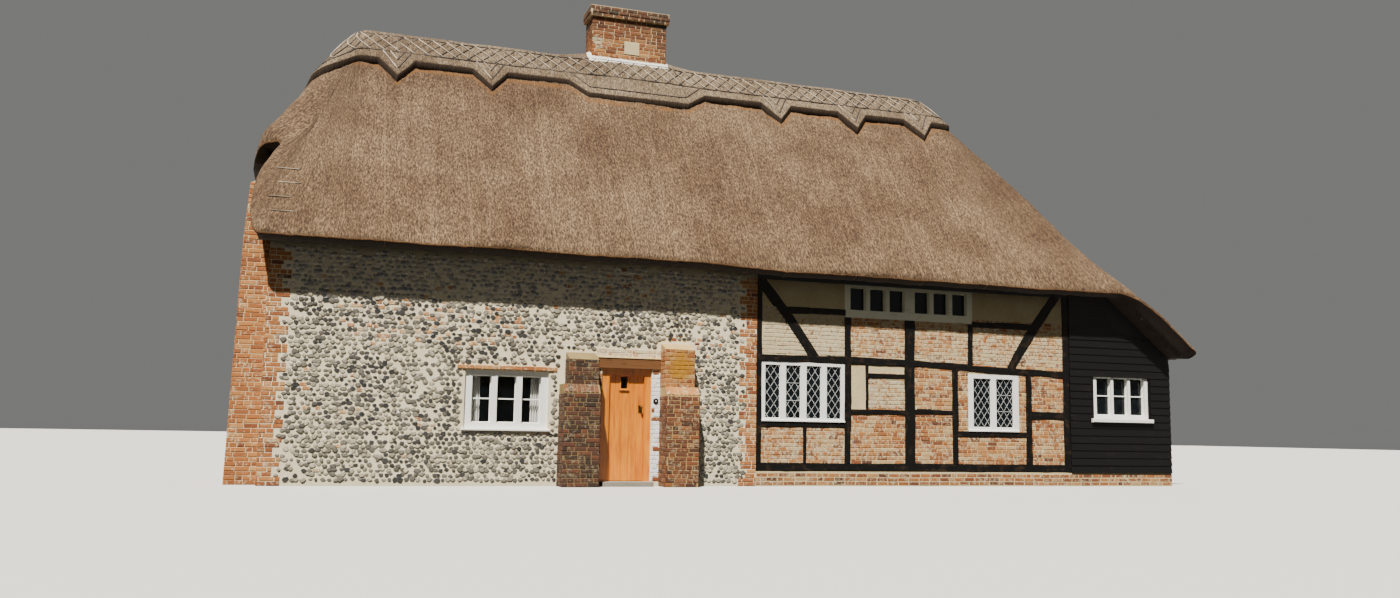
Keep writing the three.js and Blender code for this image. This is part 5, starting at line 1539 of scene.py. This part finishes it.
# %% Members
# Ends of the centre line (x, z), width, and how far it bows sideways, in metres
MEMBERS = (
    ((-0.335, 0.42), (-0.335, 3.81), 0.110, 0.006), ((1.4705, 0.42), (1.4705, 3.17), 0.127, -0.006),
    ((2.800, 0.42), (2.800, 3.17), 0.220, 0.005), ((6.385, 0.42), (6.385, 3.81), 0.150, 0.006),
    ((-0.39, 0.345), (6.46, 0.345), 0.150, 0.004), ((-0.30, 2.345), (2.93, 2.345), 0.130, 0.008),
    ((2.90, 2.345), (6.33, 2.231), 0.126, -0.010), ((-0.30, 3.76), (0.785, 2.38), 0.190, 0.030),
    ((6.17, 3.82), (5.06, 2.30), 0.182, -0.030), ((0.18, 3.250), (1.42, 3.250), 0.120, 0.006),
    ((1.8825, 1.38), (1.8825, 2.30), 0.065, 0.003), ((1.90, 2.0875), (2.70, 2.0875), 0.075, -0.004),
    ((1.52, 1.3825), (2.70, 1.3825), 0.095, 0.004), ((3.798, 0.42), (3.798, 2.27), 0.144, 0.006),
    ((2.90, 1.4125), (3.80, 1.4125), 0.085, 0.004), ((5.480, 0.42), (5.480, 2.26), 0.140, -0.006),
    ((3.80, 1.002), (5.48, 1.002), 0.104, 0.003), ((5.46, 1.395), (6.32, 1.395), 0.140, 0.008),
    ((4.145, 2.33), (4.145, 3.16), 0.110, 0.004), ((4.19, 3.160), (5.70, 3.160), 0.120, 0.006),
    ((-0.29, 1.122), (1.42, 1.122), 0.104, 0.004), ((0.5875, 0.42), (0.5875, 1.10), 0.075, 0.003))


def hewn_mesh(start, end, width, bow, seed, front=-2.902, back=-2.832, chamfer=0.010):
    """A section of six points every 50 mm: centre + bow * sin(pi t), each edge moved by noise of two sizes."""
    start, end = np.array(start), np.array(end)
    length = np.linalg.norm(end - start)
    along = (end - start) / length
    side = np.array([-along[1], along[0]])
    t = np.linspace(0, 1, max(int(length / 0.05), 6) + 1)
    distance = np.stack([t * length + 31.7 * seed, t * 0], axis=1)
    centre = start + np.outer(t * length, along) + np.outer(bow * np.sin(np.pi * t), side)
    half = [width / 2 + bumps(distance + [0, k], (0.020, 0.5, 20 + k), (0.010, 0.13, 22 + k)) for k in (0, 1)]
    face = front - 0.004 * noise(distance, 0.22, 24) - 0.0004 * (seed % 5)
    rings = []
    for edge, inset, depth in ((0, 0.0, back), (0, 0.0, face + chamfer), (0, chamfer, face), (1, chamfer, face),
                               (1, 0.0, face + chamfer), (1, 0.0, back)):
        spot = centre + ((half[edge] - inset) * (2 * edge - 1))[:, None] * side
        rings.append(np.column_stack([spot[:, 0], np.broadcast_to(depth, t.shape), spot[:, 1]]))
    last = (len(t) - 1) * 6
    ends = [[3, 2, 1, 0], [5, 4, 3, 0], [last, last + 1, last + 2, last + 3],
            [last, last + 3, last + 4, last + 5]]
    faces = np.concatenate([grid_faces(len(t), 6, closed=1), ends])[:, ::-1]
    grain = np.stack(np.broadcast_arrays(distance[:, :1], np.arange(6) * 0.05, 0.0), axis=-1)
    return np.stack(rings, axis=1).reshape(-1, 3), faces, grain.reshape(-1, 3)


hewn = [hewn_mesh(*member, seed=k) for k, member in enumerate(MEMBERS)]
black_hewn, tree, world = new_finish("black paint on hewn oak", 0.8, Specular_IOR_Level=0.12)
grain_at = add_node(tree, "Attribute", attribute_name="grain", out="Vector")
grain = drawn_out(tree, grain_at, (2.4, 30, 1), Detail=5.0, Roughness=0.65)
patch = add_node(tree, "TexNoise", world, Scale=7.0, Detail=5.0, Roughness=0.65)
both = add_node(tree, "Math", grain, patch, operation="MULTIPLY")
bare_wood = add_node(tree, "MapRange", Value=both, From_Min=0.27, From_Max=0.40, To_Max=0.7)
wire(tree, blend(tree, bare_wood, rgb("#080706"), rgb("#3a2b20")), both, 0.012)
make_piece("hewn_timbers", join_meshes([part[:2] for part in hewn]), black_hewn,
           replaces=["post_west", "post_left", "post_middle", "post_east", "front_sill_beam", "front_framing",
                     "front_sill_rail"],
           values={"grain": np.concatenate([part[2] for part in hewn])})
